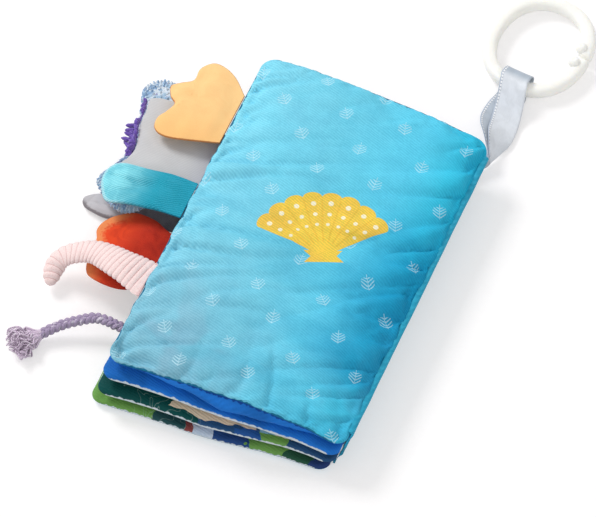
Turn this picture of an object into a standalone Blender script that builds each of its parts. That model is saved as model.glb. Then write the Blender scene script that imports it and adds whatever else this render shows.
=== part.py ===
"""Crinkle cloth book: four padded leaves sewn along one spine, cloth tails on the fore edge, and a link ring.

The book lies closed on its bottom cover. X runs from the fore edge, where the tails are, to the spine,
+Y to the ring end, Z up. The origin is at the middle of the bottom cover's flat underside.
Each leaf is two cloths sewn edge to edge round a wadding and a crinkle film, and turns on the spine.
"""

import math

import bmesh
import bpy
from mathutils import Matrix, Vector

# Leaves
LEAF_COUNT = 4
LEAF_WIDTH = 0.122
LEAF_LENGTH = 0.195
LEAF_THICKNESS = 0.0054
LEAF_CLEARANCE = 0.0003
LEAF_CORNER = 0.0075
EDGE_ROLL = 0.0085
SEAM_HALF = 0.00065
SEAM_GAP = 0.0003
CLOTH = 0.0005
FORE_LIFT = 0.0032
STACK_SLIDE_X = 0.0062
STACK_SLIDE_Y = 0.0099
SLIDE_X_SHARES = (0.0, 0.50, 0.72, 1.0)
SLIDE_Y_SHARES = (0.0, 0.05, 0.50, 1.0)
COVER_CROWN = 0.0016
COVER_DOME = 0.0060
DOME_SIDE = 0.0030
DOME_END = 0.060
NEAR_BOW = 0.0040
NEAR_BOW_SHARES = (0.75, 1.0, 0.90, 0.65)
NEAR_DRAW = 0.0085
NEAR_DRAW_SHARES = (0.82, 1.0, 0.60, 0.50)
NEAR_BOW_REACH = 0.050
PUCKER_HEIGHT = 0.0007
PUCKER_PITCH = 0.024
PUCKER_REACH = 0.012

PLAIN_INSETS = (0.0, 0.0030, EDGE_ROLL)
COVER_INSETS = (0.0, 0.0022, EDGE_ROLL)
COVER_BACK_INSETS = (0.0, 0.0014, DOME_SIDE, EDGE_ROLL)
COVER_COLUMN_SHARES = (-1.0, -0.88, -0.72, -0.40, 0.0, 0.40, 0.72, 0.88, 1.0)
SHARP_ANGLE = math.radians(50.0)

# Filling
INNER_CLEARANCE = 0.0003
FILM_THICKNESS = 0.0002

# Spine strip
SPINE_CLOTH = 0.0008
SPINE_BULGE = 0.0005
AXIS_CLEARANCE = 0.0003

# Tails
TAIL_SEAT = 0.0003
TAIL_RIM = 0.0006
TAIL_TAPER = 0.010
TAIL_STEPS = 2
TAIL_RING_SHARES = (1.0, 0.90, 0.68, 0.34)

ORANGE_REACH = 0.0372
ORANGE_WIDTH = 0.049
ORANGE_THICKNESS = 0.0036
ORANGE_PLACE_SHARE = 0.288
ORANGE_OUTLINE_SHARES = (
    (0.0, 0.31), (0.21, 0.475), (0.405, 0.56), (0.60, 0.575), (0.735, 0.465), (0.74, 0.31), (0.88, 0.235),
    (0.995, 0.16), (0.93, 0.04), (0.83, -0.035), (0.875, -0.15), (0.95, -0.26), (0.925, -0.38), (0.78, -0.445),
    (0.52, -0.43), (0.0, -0.325),
)
ORANGE_HEIGHT_SHARES = ((0.0, 1.0), (0.5, 0.985), (1.0, 0.93))

TURQUOISE_REACH = 0.0482
TURQUOISE_WIDTH = 0.0235
TURQUOISE_THICKNESS = 0.0046
TURQUOISE_PLACE_SHARE = 0.0147
TURQUOISE_OUTLINE_SHARES = (
    (0.0, 0.46), (0.25, 0.485), (0.55, 0.475), (0.84, 0.485), (0.955, 0.33), (0.985, 0.03), (0.92, -0.30),
    (0.81, -0.54), (0.60, -0.49), (0.36, -0.475), (0.18, -0.46), (0.0, -0.47),
)
TURQUOISE_HEIGHT_SHARES = ((0.0, 1.0), (0.3, 0.975), (0.7, 0.85), (1.0, 0.75))

GREY_REACH = 0.0455
GREY_WIDTH = 0.044
GREY_THICKNESS = 0.0026
GREY_PLACE_SHARE = 0.2215
GREY_OUTLINE_SHARES = (
    (0.0, 0.30), (0.35, 0.42), (0.70, 0.50), (0.955, 0.46), (0.945, 0.27), (0.93, 0.07), (0.885, -0.09),
    (0.845, -0.27), (0.875, -0.42), (0.92, -0.57), (0.60, -0.61), (0.30, -0.59), (0.0, -0.50),
)
GREY_HEIGHT_SHARES = ((0.0, 1.0), (0.5, 1.02), (1.0, 0.93))
FRINGE_SPAN_SHARES = (0.40, -0.32)
FRINGE_STEPS = 22
FRINGE_SIDES = 6
FRINGE_LOOPS = 5
FRINGE_THIN = 0.0010
FRINGE_FULL = 0.0026
FRINGE_DROP = 0.0020
FRINGE_THIN_SHARE = 0.25

RED_REACH = 0.041
RED_WIDTH = 0.041
RED_THICKNESS = 0.0056
RED_PLACE_SHARE = -0.0975
RED_OUTLINE_SHARES = (
    (0.0, 0.26), (0.12, 0.31), (0.30, 0.405), (0.58, 0.465), (0.79, 0.39), (0.92, 0.27), (0.955, 0.13),
    (0.90, 0.0), (0.875, -0.18), (0.865, -0.34), (0.825, -0.465), (0.745, -0.545), (0.52, -0.625), (0.29, -0.655),
    (0.12, -0.60), (0.0, -0.50),
)
RED_HEIGHT_SHARES = ((0.0, 1.0), (0.3, 0.86), (0.7, 0.60), (1.0, 0.42))

PLUSH_REACH = 0.0515
PLUSH_WIDTH = 0.076
PLUSH_THICKNESS = 0.0038
PLUSH_PLACE_SHARE = 0.231
PLUSH_OUTLINE_SHARES = (
    (0.0, 0.16), (0.35, 0.27), (0.60, 0.46), (0.76, 0.53), (0.90, 0.51), (0.985, 0.435), (0.95, 0.33), (0.86, 0.15),
    (0.80, 0.0), (0.84, -0.17), (0.955, -0.33), (0.90, -0.42), (0.70, -0.53), (0.54, -0.545), (0.40, -0.47),
    (0.25, -0.27), (0.0, -0.18),
)
PLUSH_HEIGHT_SHARES = ((0.0, 1.0), (0.4, 1.16), (0.7, 1.08), (1.0, 0.85))

VELVET_REACH = 0.0545
VELVET_WIDTH = 0.024
VELVET_THICKNESS = 0.0044
VELVET_PLACE_SHARE = 0.067
VELVET_OUTLINE_SHARES = (
    (0.0, 0.42), (0.30, 0.45), (0.60, 0.30), (0.85, 0.10), (0.96, -0.05), (0.99, -0.18),
    (0.945, -0.33), (0.83, -0.40), (0.70, -0.43), (0.45, -0.40), (0.20, -0.40), (0.0, -0.42),
)
VELVET_HEIGHT_SHARES = ((0.0, 1.0), (0.25, 0.78), (0.45, 0.44), (0.75, 0.24), (1.0, 0.22))

# Corduroy tail: stations along its middle, as shares of its reach and of its sideways bend
PINK_REACH = 0.0512
PINK_BEND = 0.0165
PINK_WIDTH = 0.0216
PINK_THICKNESS = 0.0080
PINK_PLACE_SHARE = -0.243
PINK_ROUTE_SHARES = (
    (0.0, 0.0), (0.29, 0.24), (0.62, 0.58), (0.84, 0.53), (0.965, 0.32), (1.0, 0.0), (0.975, -0.50),
)
PINK_WIDTH_SHARES = (1.0, 0.84, 0.65, 0.575, 0.54, 0.48, 0.30)
PINK_THICKNESS_SHARES = (0.16, 0.86, 1.0, 0.95, 0.90, 0.84, 0.50)
PINK_HEIGHT_SHARES = (1.0, 0.945, 0.72, 0.52, 0.37, 0.27, 0.20)
PINK_STEPS = 6
PINK_SIDES = 12
PINK_RIB_DEPTH = 0.0006

# Braided cord and its frayed end. The route is in metres from where the cord leaves the second leaf's seam, and the
# rise of each point is its height above the table.
CORD_DIAMETER = 0.0056
CORD_PLACE_SHARE = -0.297
CORD_POINTS = 16
CORD_ROUTE = (
    (-0.0001, 0.0, 0.0117),
    (-0.0056, 0.0002, 0.0117),
    (-0.0111, 0.0010, 0.0113),
    (-0.0173, 0.0006, 0.0103),
    (-0.0236, -0.0027, 0.0090),
    (-0.0298, -0.0065, 0.0074),
    (-0.0351, -0.0107, 0.0057),
    (-0.0394, -0.0153, 0.0042),
)
TUFT_LENGTH = 0.0175
TUFT_RADIUS = 0.0064
TUFT_NECK_SHARE = 0.46
TUFT_LOBES = 7
TUFT_LOBE_SHARE = 0.13
TUFT_FLATTEN_SHARE = 0.60
TUFT_FLOOR_CLEARANCE = 0.0003
TUFT_STEPS = 8
TUFT_SIDES = 21

# Ribbon
RIBBON_WIDTH = 0.0150
RIBBON_THICKNESS = 0.0005
RIBBON_STRAND_GAP = 0.0003
RIBBON_SKEW = 0.0020
RIBBON_LENGTH = 0.0478
RIBBON_ROOT_WIDTH = 0.0042
RIBBON_ROOT_HEIGHT = 0.0030
RIBBON_ROOT_SEAT = 0.0006
RIBBON_ROOT_TURN = math.radians(60.0)
RIBBON_LEAN = 0.0051
RIBBON_PIVOT_PAST_COVER = 0.0018
RIBBON_PIVOT_GAP = 0.00045
RIBBON_PIVOT_WIDTH_SHARE = 0.50
RIBBON_OPENING_SHARE = 0.33
RIBBON_STEPS = 16
RIBBON_BASE_STEPS = 4
RIBBON_ACROSS_SHARES = (-1.0, -1.0 / 3.0, 1.0 / 3.0, 1.0)
RIBBON_TILT_SHARES = ((0.0, 1.0), (0.10, 0.64), (0.34, 0.33), (0.62, 0.09), (0.85, 0.02), (1.0, 0.0))
RIBBON_PARTING_SHARE = 0.62
RIBBON_BOW = 0.0015
RIBBON_FLOOR_CLEARANCE = 0.0004
LOOP_STEPS = 8

# Link ring
RING_BAR = 0.0076
RING_HALF_ACROSS = 0.0238
RING_HALF_ALONG = 0.0279
RING_FULLNESS_SHARE = 0.92
RING_TURN = math.radians(-6.0)
RING_STATIONS = 48
RING_SIDES = 12
RING_LOOP_CLEARANCE = 0.0003
RING_SPLIT = 0.0009
RING_SPLIT_ANGLE = math.radians(6.0)
KNOB_RADIUS = 0.0031
KNOB_SPREAD = 0.0040
KNOB_INSET_SHARE = 0.40
KNOB_RISE_SHARE = 0.38
KNOB_SEGMENTS = 12
KNOB_RINGS = 8

# Distances that follow from the sizes above
HALF_WIDTH = LEAF_WIDTH / 2
HALF_LENGTH = LEAF_LENGTH / 2
HALF_LEAF = LEAF_THICKNESS / 2
LEAF_PITCH = LEAF_THICKNESS + LEAF_CLEARANCE
STACK_HEIGHT = LEAF_COUNT * LEAF_PITCH - LEAF_CLEARANCE
SPINE_AXIS_X = HALF_WIDTH + STACK_SLIDE_X + TAIL_SEAT + SPINE_CLOTH + SPINE_BULGE + AXIS_CLEARANCE
SPINE_AXIS_Z = (STACK_HEIGHT + COVER_CROWN) / 2
LEAF_NAMES = ("cover_bottom", "leaf_2", "leaf_1", "cover_top")


def clear_scene():
    for obj in list(bpy.data.objects):
        bpy.data.objects.remove(obj, do_unlink=True)


def material(name, colour, roughness, metallic=0.0):
    made = bpy.data.materials.get(name)
    if made is None:
        made = bpy.data.materials.new(name)
        made.use_nodes = True
        shader = made.node_tree.nodes["Principled BSDF"]
        shader.inputs["Base Color"].default_value = (*colour, 1.0)
        shader.inputs["Roughness"].default_value = roughness
        shader.inputs["Metallic"].default_value = metallic
    return made


FINISHES = {
    "turquoise_twill": ((0.12, 0.56, 0.74), 0.75),
    "royal_blue_print": ((0.02, 0.12, 0.46), 0.78),
    "sea_green_print": ((0.02, 0.14, 0.12), 0.78),
    "leaf_green_print": ((0.22, 0.44, 0.12), 0.78),
    "white_wadding": ((0.88, 0.88, 0.86), 0.95),
    "clear_film": ((0.80, 0.84, 0.86), 0.25),
    "orange_velour": ((0.96, 0.60, 0.24), 0.85),
    "turquoise_minky": ((0.05, 0.58, 0.70), 0.85),
    "grey_satin": ((0.56, 0.56, 0.57), 0.60),
    "purple_chenille": ((0.17, 0.09, 0.42), 0.90),
    "red_velour": ((0.78, 0.08, 0.03), 0.85),
    "pale_blue_plush": ((0.55, 0.66, 0.78), 0.92),
    "dark_grey_velvet": ((0.30, 0.29, 0.29), 0.88),
    "pink_corduroy": ((0.86, 0.62, 0.60), 0.88),
    "lilac_cord": ((0.42, 0.32, 0.52), 0.88),
    "blue_grey_ribbon": ((0.52, 0.60, 0.70), 0.42),
    "milky_plastic": ((0.82, 0.81, 0.76), 0.30),
}


def finish(obj, name):
    colour, roughness = FINISHES[name]
    obj.data.materials.append(material(name, colour, roughness))


def new_object(name, vertices, faces, finish_name):
    """A closed solid with its faces turned outwards and its soft edges shaded smooth."""
    mesh = bpy.data.meshes.new(name)
    mesh.from_pydata(vertices, [], faces)
    made = bmesh.new()
    made.from_mesh(mesh)
    bmesh.ops.recalc_face_normals(made, faces=made.faces)
    made.to_mesh(mesh)
    made.free()
    obj = bpy.data.objects.new(name, mesh)
    bpy.context.scene.collection.objects.link(obj)
    mesh.shade_smooth()
    mesh.set_sharp_from_angle(angle=SHARP_ANGLE)
    finish(obj, finish_name)
    return obj


def set_origin(obj, point):
    """Moves the object's origin to point and leaves its shape where it is."""
    obj.data.transform(Matrix.Translation(-Vector(point)))
    obj.location = point


def pivot(name, point, parent=None):
    """An empty on a joint's axis, for the pieces that turn there."""
    empty = bpy.data.objects.new(name, None)
    empty.empty_display_size = RING_BAR
    bpy.context.scene.collection.objects.link(empty)
    empty.location = point
    if parent is not None:
        attach(empty, parent)
    return empty


def attach(obj, parent):
    bpy.context.view_layer.update()
    obj.parent = parent
    obj.matrix_parent_inverse = parent.matrix_world.inverted()


def between(value, table):
    """Value read from a table of (place, value) pairs, with straight runs between them."""
    for (x0, y0), (x1, y1) in zip(table, table[1:]):
        if value <= x1:
            return y0 + (y1 - y0) * max(0.0, value - x0) / (x1 - x0)
    return table[-1][1]


def ease(value):
    value = min(1.0, max(0.0, value))
    return value * value * (3.0 - 2.0 * value)


def smooth_route(points, steps):
    """Catmull-Rom curve through the points, with steps pieces between each two."""
    ends = [2 * points[0] - points[1], *points, 2 * points[-1] - points[-2]]
    route = [points[0]]
    for a, b, c, d in zip(ends, ends[1:], ends[2:], ends[3:]):
        for step in range(1, steps + 1):
            t = step / steps
            route.append(
                0.5 * (2 * b + t * (c - a) + t * t * (2 * a - 5 * b + 4 * c - d) + t**3 * (3 * b - a - 3 * c + d))
            )
    return route


def leaf_slide(index):
    return STACK_SLIDE_X * SLIDE_X_SHARES[index], STACK_SLIDE_Y * SLIDE_Y_SHARES[index]


def leaf_middle(index, x):
    """Height of the leaf's middle surface at x, measured from the leaf's own centre line."""
    rise = index * FORE_LIFT * (HALF_WIDTH - x) / LEAF_WIDTH
    return index * LEAF_PITCH + HALF_LEAF + rise


def seam_height(index):
    return leaf_middle(index, -HALF_WIDTH)


def rolled(inset):
    """Half thickness of a leaf at a distance in from its sewn edge."""
    t = min(1.0, inset / EDGE_ROLL)
    return SEAM_HALF + (HALF_LEAF - SEAM_HALF) * math.sqrt(1.0 - (1.0 - t) ** 2)


def cover_crown(x, y):
    return COVER_CROWN * math.cos(math.pi * x / LEAF_WIDTH) * math.cos(math.pi * y / LEAF_LENGTH)


def cover_dome(x, y):
    """Rise of the top cover's seam and face between the fore edge and the spine, narrower at the near end."""
    share = min(1.0, max(0.0, (x + HALF_WIDTH) / LEAF_WIDTH))
    broad = 1.0 - abs(2.0 * share - 1.0) ** 3
    narrow = math.sin(math.pi * share**1.15) ** 2
    near = ease(1.0 - (y + HALF_LENGTH) / DOME_END)
    return COVER_DOME * (broad + (narrow - broad) * near)


def near_bow(x, y, index):
    """How far the padding pulls a leaf's near end in, between its corners and towards the spine."""
    fade = ease(1.0 - (y + HALF_LENGTH) / NEAR_BOW_REACH)
    share = x / LEAF_WIDTH + 0.5
    bow = NEAR_BOW * NEAR_BOW_SHARES[index] * (1.0 - abs(x / HALF_WIDTH) ** 3)
    return (bow + NEAR_DRAW * NEAR_DRAW_SHARES[index] * ease((share - 0.4) / 0.6)) * fade


def cover_puff(x, y, inset):
    """Extra height of the top cover's face: a low crown, and puckers that run in from the side seams."""
    side = HALF_WIDTH - abs(x)
    fade = ease(inset / EDGE_ROLL) * math.exp(-side / PUCKER_REACH) * math.cos(math.pi * y / LEAF_LENGTH)
    wave = math.sin(2 * math.pi * y / PUCKER_PITCH + x / PUCKER_REACH)
    return cover_crown(x, y) + PUCKER_HEIGHT * fade * wave


def dome_side(x, y, inset):
    """Rise of the top cover's back face, which comes down from the raised seam just inside the edge."""
    return cover_dome(x, y) * (1.0 - ease(inset / DOME_SIDE))


def rounded_loop(half_x, half_y, radius, columns, rows, arc):
    """Points round a rectangle with round corners, anticlockwise from the foot of its +X side.

    columns and rows are the places of the points along the straight sides, as shares from -1 to 1.
    """
    inner_x, inner_y = half_x - radius, half_y - radius
    sides = (
        [(half_x, inner_y * t) for t in rows],
        [(inner_x * t, half_y) for t in reversed(columns)],
        [(-half_x, inner_y * t) for t in reversed(rows)],
        [(inner_x * t, -half_y) for t in columns],
    )
    points = []
    for place, (side, corner) in enumerate(zip(sides, ((1, 1), (-1, 1), (-1, -1), (1, -1)))):
        points.extend(side)
        for step in range(1, arc):
            angle = (place + step / arc) * math.pi / 2
            x = corner[0] * inner_x + radius * math.cos(angle)
            points.append((x, corner[1] * inner_y + radius * math.sin(angle)))
    return points


def grid_rim(columns, rows, arc):
    """For each point of a rounded loop, the point of the inner grid that it meets."""
    across, along = len(columns), len(rows)
    sides = (
        [j * across + across - 1 for j in range(along)],
        [(along - 1) * across + i for i in reversed(range(across))],
        [j * across for j in reversed(range(along))],
        list(range(across)),
    )
    index = []
    for side in sides:
        index.extend(side)
        index.extend([side[-1]] * (arc - 1))
    return index


def even(count):
    return [2 * k / count - 1 for k in range(count + 1)]


def sheet_layout(half_x, half_y, radius, insets, columns, rows, arc):
    """Points (x, y, inset) and faces of a rounded sheet: rings that follow its edge, then a grid inside them."""
    points = []
    faces = []
    loops = []
    for inset in insets[:-1]:
        loop = rounded_loop(half_x - inset, half_y - inset, radius - inset, columns, rows, arc)
        loops.append(list(range(len(points), len(points) + len(loop))))
        points.extend((x, y, inset) for x, y in loop)
    start = len(points)
    deep_x, deep_y = half_x - insets[-1], half_y - insets[-1]
    points.extend((deep_x * i, deep_y * j, insets[-1]) for j in rows for i in columns)
    loops.append([start + k for k in grid_rim(columns, rows, arc)])
    count = len(loops[0])
    for outer, inner in zip(loops, loops[1:]):
        for k in range(count):
            m = (k + 1) % count
            face = [outer[k], outer[m], inner[m], inner[k]]
            faces.append([v for place, v in enumerate(face) if v != face[place - 1]])
    row = len(columns)
    for j in range(len(rows) - 1):
        for i in range(row - 1):
            a = start + j * row + i
            faces.append([a, a + 1, a + row + 1, a + row])
    return points, faces, loops[0]


def layered_solid(name, index, layout, upper, lower, finish_name):
    """A closed sheet of a leaf between two surfaces, each a function of x, y and inset."""
    points, faces, rim = layout
    count = len(points)
    vertices = []
    for face in (upper, lower):
        vertices += [(x, y + near_bow(x, y, index), face(x, y, d)) for x, y, d in points]
    every = list(faces) + [[v + count for v in reversed(face)] for face in faces]
    for k, v in enumerate(rim):
        w = rim[(k + 1) % len(rim)]
        every.append([v + count, w + count, w, v])
    return new_object(name, vertices, every, finish_name)


def leaf_layouts(index):
    """The point layouts of a leaf's upper cloth, its lower cloth and its filling."""
    outer = HALF_WIDTH, HALF_LENGTH, LEAF_CORNER
    fill = HALF_WIDTH - EDGE_ROLL, HALF_LENGTH - EDGE_ROLL, LEAF_CORNER, (0.0, LEAF_CORNER)
    if index < LEAF_COUNT - 1:
        plain = sheet_layout(*outer, PLAIN_INSETS, even(6), even(8), 3)
        return plain, plain, sheet_layout(*fill, even(4), even(8), 2)
    upper = sheet_layout(*outer, COVER_INSETS, COVER_COLUMN_SHARES, even(32), 4)
    lower = sheet_layout(*outer, COVER_BACK_INSETS, COVER_COLUMN_SHARES, even(32), 4)
    return upper, lower, sheet_layout(*fill, even(8), even(16), 2)


def make_leaf(index, upper_finish, lower_finish):
    """Two cloths, a wadding and a crinkle film, in the frame of the leaf's own middle."""
    name = LEAF_NAMES[index]
    top = index == LEAF_COUNT - 1
    upper, lower, filling = leaf_layouts(index)
    pucker_room = PUCKER_HEIGHT if top else 0.0
    film_top = HALF_LEAF - CLOTH - INNER_CLEARANCE - pucker_room
    wadding_top = film_top - FILM_THICKNESS - INNER_CLEARANCE
    wadding_foot = HALF_LEAF - CLOTH - INNER_CLEARANCE

    def raised(x, y, height):
        """Height of a filling layer's face, which follows the crown and the dome of the top cover."""
        return leaf_middle(index, x) + height + (cover_crown(x, y) + cover_dome(x, y) if top else 0.0)

    def swell(x, y, inset):
        return rolled(inset) + (cover_puff(x, y, inset) if top else 0.0)

    def above(x, y, inset):
        return leaf_middle(index, x) + (cover_dome(x, y) if top else 0.0)

    def below(x, y, inset):
        return leaf_middle(index, x) + (dome_side(x, y, inset) if top else 0.0)

    def outside(x, y, inset):
        return above(x, y, inset) + swell(x, y, inset)

    def inside(x, y, inset):
        return above(x, y, inset) + max(SEAM_GAP / 2, swell(x, y, inset) - CLOTH)

    def back_outside(x, y, inset):
        return below(x, y, inset) - rolled(inset)

    def back_inside(x, y, inset):
        return below(x, y, inset) - max(SEAM_GAP / 2, rolled(inset) - CLOTH)

    return [
        layered_solid(f"{name}_upper_cloth", index, upper, outside, inside, upper_finish),
        layered_solid(f"{name}_lower_cloth", index, lower, back_inside, back_outside, lower_finish),
        layered_solid(
            f"{name}_crinkle_film",
            index,
            filling,
            lambda x, y, inset: raised(x, y, film_top),
            lambda x, y, inset: raised(x, y, film_top - FILM_THICKNESS),
            "clear_film",
        ),
        layered_solid(
            f"{name}_wadding",
            index,
            filling,
            lambda x, y, inset: raised(x, y, wadding_top),
            lambda x, y, inset: leaf_middle(index, x) - wadding_foot,
            "white_wadding",
        ),
    ]


def make_spine(index):
    """The length of spine strip that is sewn along this leaf's spine edge."""
    low = index * LEAF_PITCH
    high = low + LEAF_THICKNESS
    inner = HALF_WIDTH + TAIL_SEAT
    outer = inner + SPINE_CLOTH
    far = HALF_LENGTH - LEAF_CORNER
    near = near_bow(HALF_WIDTH, -HALF_LENGTH, index) - far
    section = [(inner, low), (outer, low)]
    section += [(outer + SPINE_BULGE * math.sin(math.pi * t), low + (high - low) * t) for t in (0.25, 0.5, 0.75)]
    section += [(outer, high), (inner, high), (inner, (low + high) / 2)]
    count = len(section)
    vertices = [(x, near, z) for x, z in section] + [(x, far, z) for x, z in section]
    faces = [list(range(count)), list(range(2 * count - 1, count - 1, -1))]
    for k in range(count):
        m = (k + 1) % count
        faces.append([m, k, k + count, m + count])
    return new_object(f"spine_{LEAF_NAMES[index]}", vertices, faces, "turquoise_twill")


def tail_frame(index, place_share):
    """Where a tail leaves its leaf's fore edge, in the frame of that leaf."""
    return Vector((-HALF_WIDTH - TAIL_SEAT, place_share * LEAF_LENGTH, 0.0))


def flat_tail(name, index, reach, width, thickness, place_share, outline_shares, height_shares, finish_name):
    """A padded cloth tail: a smooth outline whose two faces swell away from the rim and from the seam."""
    root = tail_frame(index, place_share)
    outline = [root + Vector((-out * reach, along * width, 0.0)) for out, along in outline_shares]
    loop = smooth_route(outline, TAIL_STEPS)
    for point in loop:
        point.x = min(point.x, root.x)
    loop.append((loop[0] + loop[-1]) / 2)
    centre = sum(loop, Vector()) / len(loop)
    count = len(loop)

    def middle(point):
        return seam_height(index) * between((root.x - point.x) / reach, height_shares)

    def half(share, point):
        swell = math.sqrt(max(0.0, 1.0 - share * share)) * ease((root.x - point.x) / TAIL_TAPER)
        return TAIL_RIM + (thickness / 2 - TAIL_RIM) * swell

    vertices = []
    for side in (1, -1):
        for share in TAIL_RING_SHARES:
            for point in loop:
                p = centre + (point - centre) * share
                vertices.append((p.x, p.y, middle(p) + side * half(share, p)))
        vertices.append((centre.x, centre.y, middle(centre) + side * half(0.0, centre)))
    sheet = count * len(TAIL_RING_SHARES) + 1
    faces = []
    for ring in range(len(TAIL_RING_SHARES)):
        for k in range(count):
            m = (k + 1) % count
            a, b = ring * count + k, ring * count + m
            if ring == len(TAIL_RING_SHARES) - 1:
                face = [a, b, sheet - 1]
            else:
                face = [a, b, b + count, a + count]
            faces.append(face)
            faces.append([v + sheet for v in reversed(face)])
    for k in range(count):
        m = (k + 1) % count
        faces.append([k + sheet, m + sheet, m, k])
    return new_object(name, vertices, faces, finish_name)


def swept_solid(name, stations, finish_name, strip=False):
    """A closed solid through rings of points, one ring at each station.

    The ends of a strip are cut into four-sided pieces, so that no face there has its points in a line.
    """
    count = len(stations[0])
    vertices = [tuple(point) for ring in stations for point in ring]
    ends = [list(range(count))]
    if strip:
        ends = [[k, k + 1, count - 2 - k, count - 1 - k] for k in range(count // 2 - 1)]
    faces = [end[::-1] for end in ends] + [[len(vertices) - count + v for v in end] for end in ends]
    for s in range(len(stations) - 1):
        for k in range(count):
            m = (k + 1) % count
            a, b = s * count + k, s * count + m
            # The far half is cut the other way, so that a thin strip's two faces fold along the same diagonals
            if k < count / 2:
                faces += [[a, b, b + count], [a, b + count, a + count]]
            else:
                faces += [[a, b, a + count], [b, b + count, a + count]]
    return new_object(name, vertices, faces, finish_name)


def make_grey_fringe(index):
    """The chenille trim sewn along the outer edge of the grey tail: a lumpy strand that follows that edge."""
    root = tail_frame(index, GREY_PLACE_SHARE)
    outline = [root + Vector((-out * GREY_REACH, along * GREY_WIDTH, 0.0)) for out, along in GREY_OUTLINE_SHARES]
    edge = [(p.y, p.x) for p in smooth_route(outline, TAIL_STEPS) if root.x - p.x > GREY_REACH / 2]
    edge.sort()
    first, last = (root.y + share * GREY_WIDTH for share in FRINGE_SPAN_SHARES)
    stations = []
    for k in range(FRINGE_STEPS + 1):
        t = k / FRINGE_STEPS
        y = first + (last - first) * t
        x = between(y, edge)
        lump = abs(math.sin(math.pi * FRINGE_LOOPS * t)) * ease((t - FRINGE_THIN_SHARE) / FRINGE_THIN_SHARE)
        radius = FRINGE_THIN + (FRINGE_FULL - FRINGE_THIN) * lump
        height = seam_height(index) * between((root.x - x) / GREY_REACH, GREY_HEIGHT_SHARES) - FRINGE_DROP * t
        middle = Vector((x - TAIL_SEAT - radius, y, height))
        ring = []
        for side in range(FRINGE_SIDES):
            angle = 2 * math.pi * side / FRINGE_SIDES
            ring.append(middle + radius * Vector((math.cos(angle), 0.0, math.sin(angle))))
        stations.append(ring)
    return swept_solid("tail_grey_fringe", stations, "purple_chenille")


def make_pink_tail(index):
    """A stuffed corduroy tail that narrows, drops to the table and curls round at its tip."""
    root = tail_frame(index, PINK_PLACE_SHARE)
    height = seam_height(index)
    table = list(zip(PINK_ROUTE_SHARES, PINK_WIDTH_SHARES, PINK_THICKNESS_SHARES, PINK_HEIGHT_SHARES))
    middles = [root + Vector((-out * PINK_REACH, side * PINK_BEND, height * up)) for (out, side), _, _, up in table]
    sizes = [Vector((w * PINK_WIDTH / 2, t * PINK_THICKNESS / 2, 0.0)) for _, w, t, _ in table]
    path = smooth_route(middles, PINK_STEPS)
    spread = smooth_route(sizes, PINK_STEPS)
    stations = []
    for k, middle in enumerate(path):
        ahead = path[min(k + 1, len(path) - 1)] - path[max(k - 1, 0)]
        if k == 0:
            ahead = Vector((-1.0, 0.0, 0.0))
        ahead.z = 0.0
        ahead.normalize()
        across = Vector((-ahead.y, ahead.x, 0.0))
        # Every second station lies in the groove between two ribs
        groove = PINK_RIB_DEPTH * (k % 2) if 0 < k < len(path) - 1 else 0.0
        ring = []
        for side in range(PINK_SIDES):
            angle = 2 * math.pi * side / PINK_SIDES
            up = Vector((0.0, 0.0, math.sin(angle) * (spread[k].y - groove)))
            ring.append(middle + across * math.cos(angle) * (spread[k].x - groove) + up)
        stations.append(ring)
    return swept_solid("tail_pink", stations, "pink_corduroy")


def cord_points():
    """Points close together along the cord, which leaves the second leaf's seam and comes down to the table."""
    root = tail_frame(1, CORD_PLACE_SHARE)
    drop = seam_height(1) / CORD_ROUTE[0][2]
    return smooth_route([root + Vector((x, y, z * drop)) for x, y, z in CORD_ROUTE], CORD_POINTS)


def make_cord():
    """The braided cord: a round tube along its route."""
    route = cord_points()
    curve = bpy.data.curves.new("cord", "CURVE")
    curve.dimensions = "3D"
    curve.bevel_depth = CORD_DIAMETER / 2
    curve.bevel_resolution = 3
    curve.use_fill_caps = True
    spline = curve.splines.new("POLY")
    chosen = [route[round(k * (len(route) - 1) / (CORD_POINTS - 1))] for k in range(CORD_POINTS)]
    spline.points.add(len(chosen) - 1)
    for point, place in zip(spline.points, chosen):
        point.co = (*place, 1.0)
    obj = bpy.data.objects.new("cord", curve)
    bpy.context.scene.collection.objects.link(obj)
    finish(obj, "lilac_cord")
    return obj


def make_tuft():
    """The frayed end of the cord: strands that flare from the cord and lie on the table."""
    route = cord_points()
    ahead = (route[-1] - route[-2]).normalized()
    start = route[-1] + ahead * TAIL_SEAT
    flat = Vector((ahead.x, ahead.y, 0.0)).normalized()
    across = Vector((-flat.y, flat.x, 0.0))
    square = ahead.cross(across)
    upright = Vector((0.0, 0.0, 1.0))
    stations = []
    for k in range(TUFT_STEPS + 1):
        t = k / TUFT_STEPS
        grow = TUFT_NECK_SHARE + (1.0 - TUFT_NECK_SHARE) * ease(t * 1.4)
        close = 1.0 if t < 0.75 else math.sqrt(max(0.16, 1.0 - ((t - 0.75) / 0.25) ** 2))
        radius = TUFT_RADIUS * grow * close
        rise = radius * (1.0 - (1.0 - TUFT_FLATTEN_SHARE) * ease(t * 2.0))
        middle = start + flat * TUFT_LENGTH * t
        middle.z = max(rise * (1.0 + TUFT_LOBE_SHARE) + TUFT_FLOOR_CLEARANCE, start.z * (1.0 - t))
        up = square.lerp(upright, ease(t * 2.0))
        ring = []
        for side in range(TUFT_SIDES):
            angle = 2 * math.pi * side / TUFT_SIDES
            lobe = 1.0 + TUFT_LOBE_SHARE * ease(t * 2.0) * math.cos(TUFT_LOBES * angle)
            ring.append(middle + (across * math.cos(angle) * radius + up * math.sin(angle) * rise) * lobe)
        stations.append(ring)
    return swept_solid("cord_tuft", stations, "lilac_cord")


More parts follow.
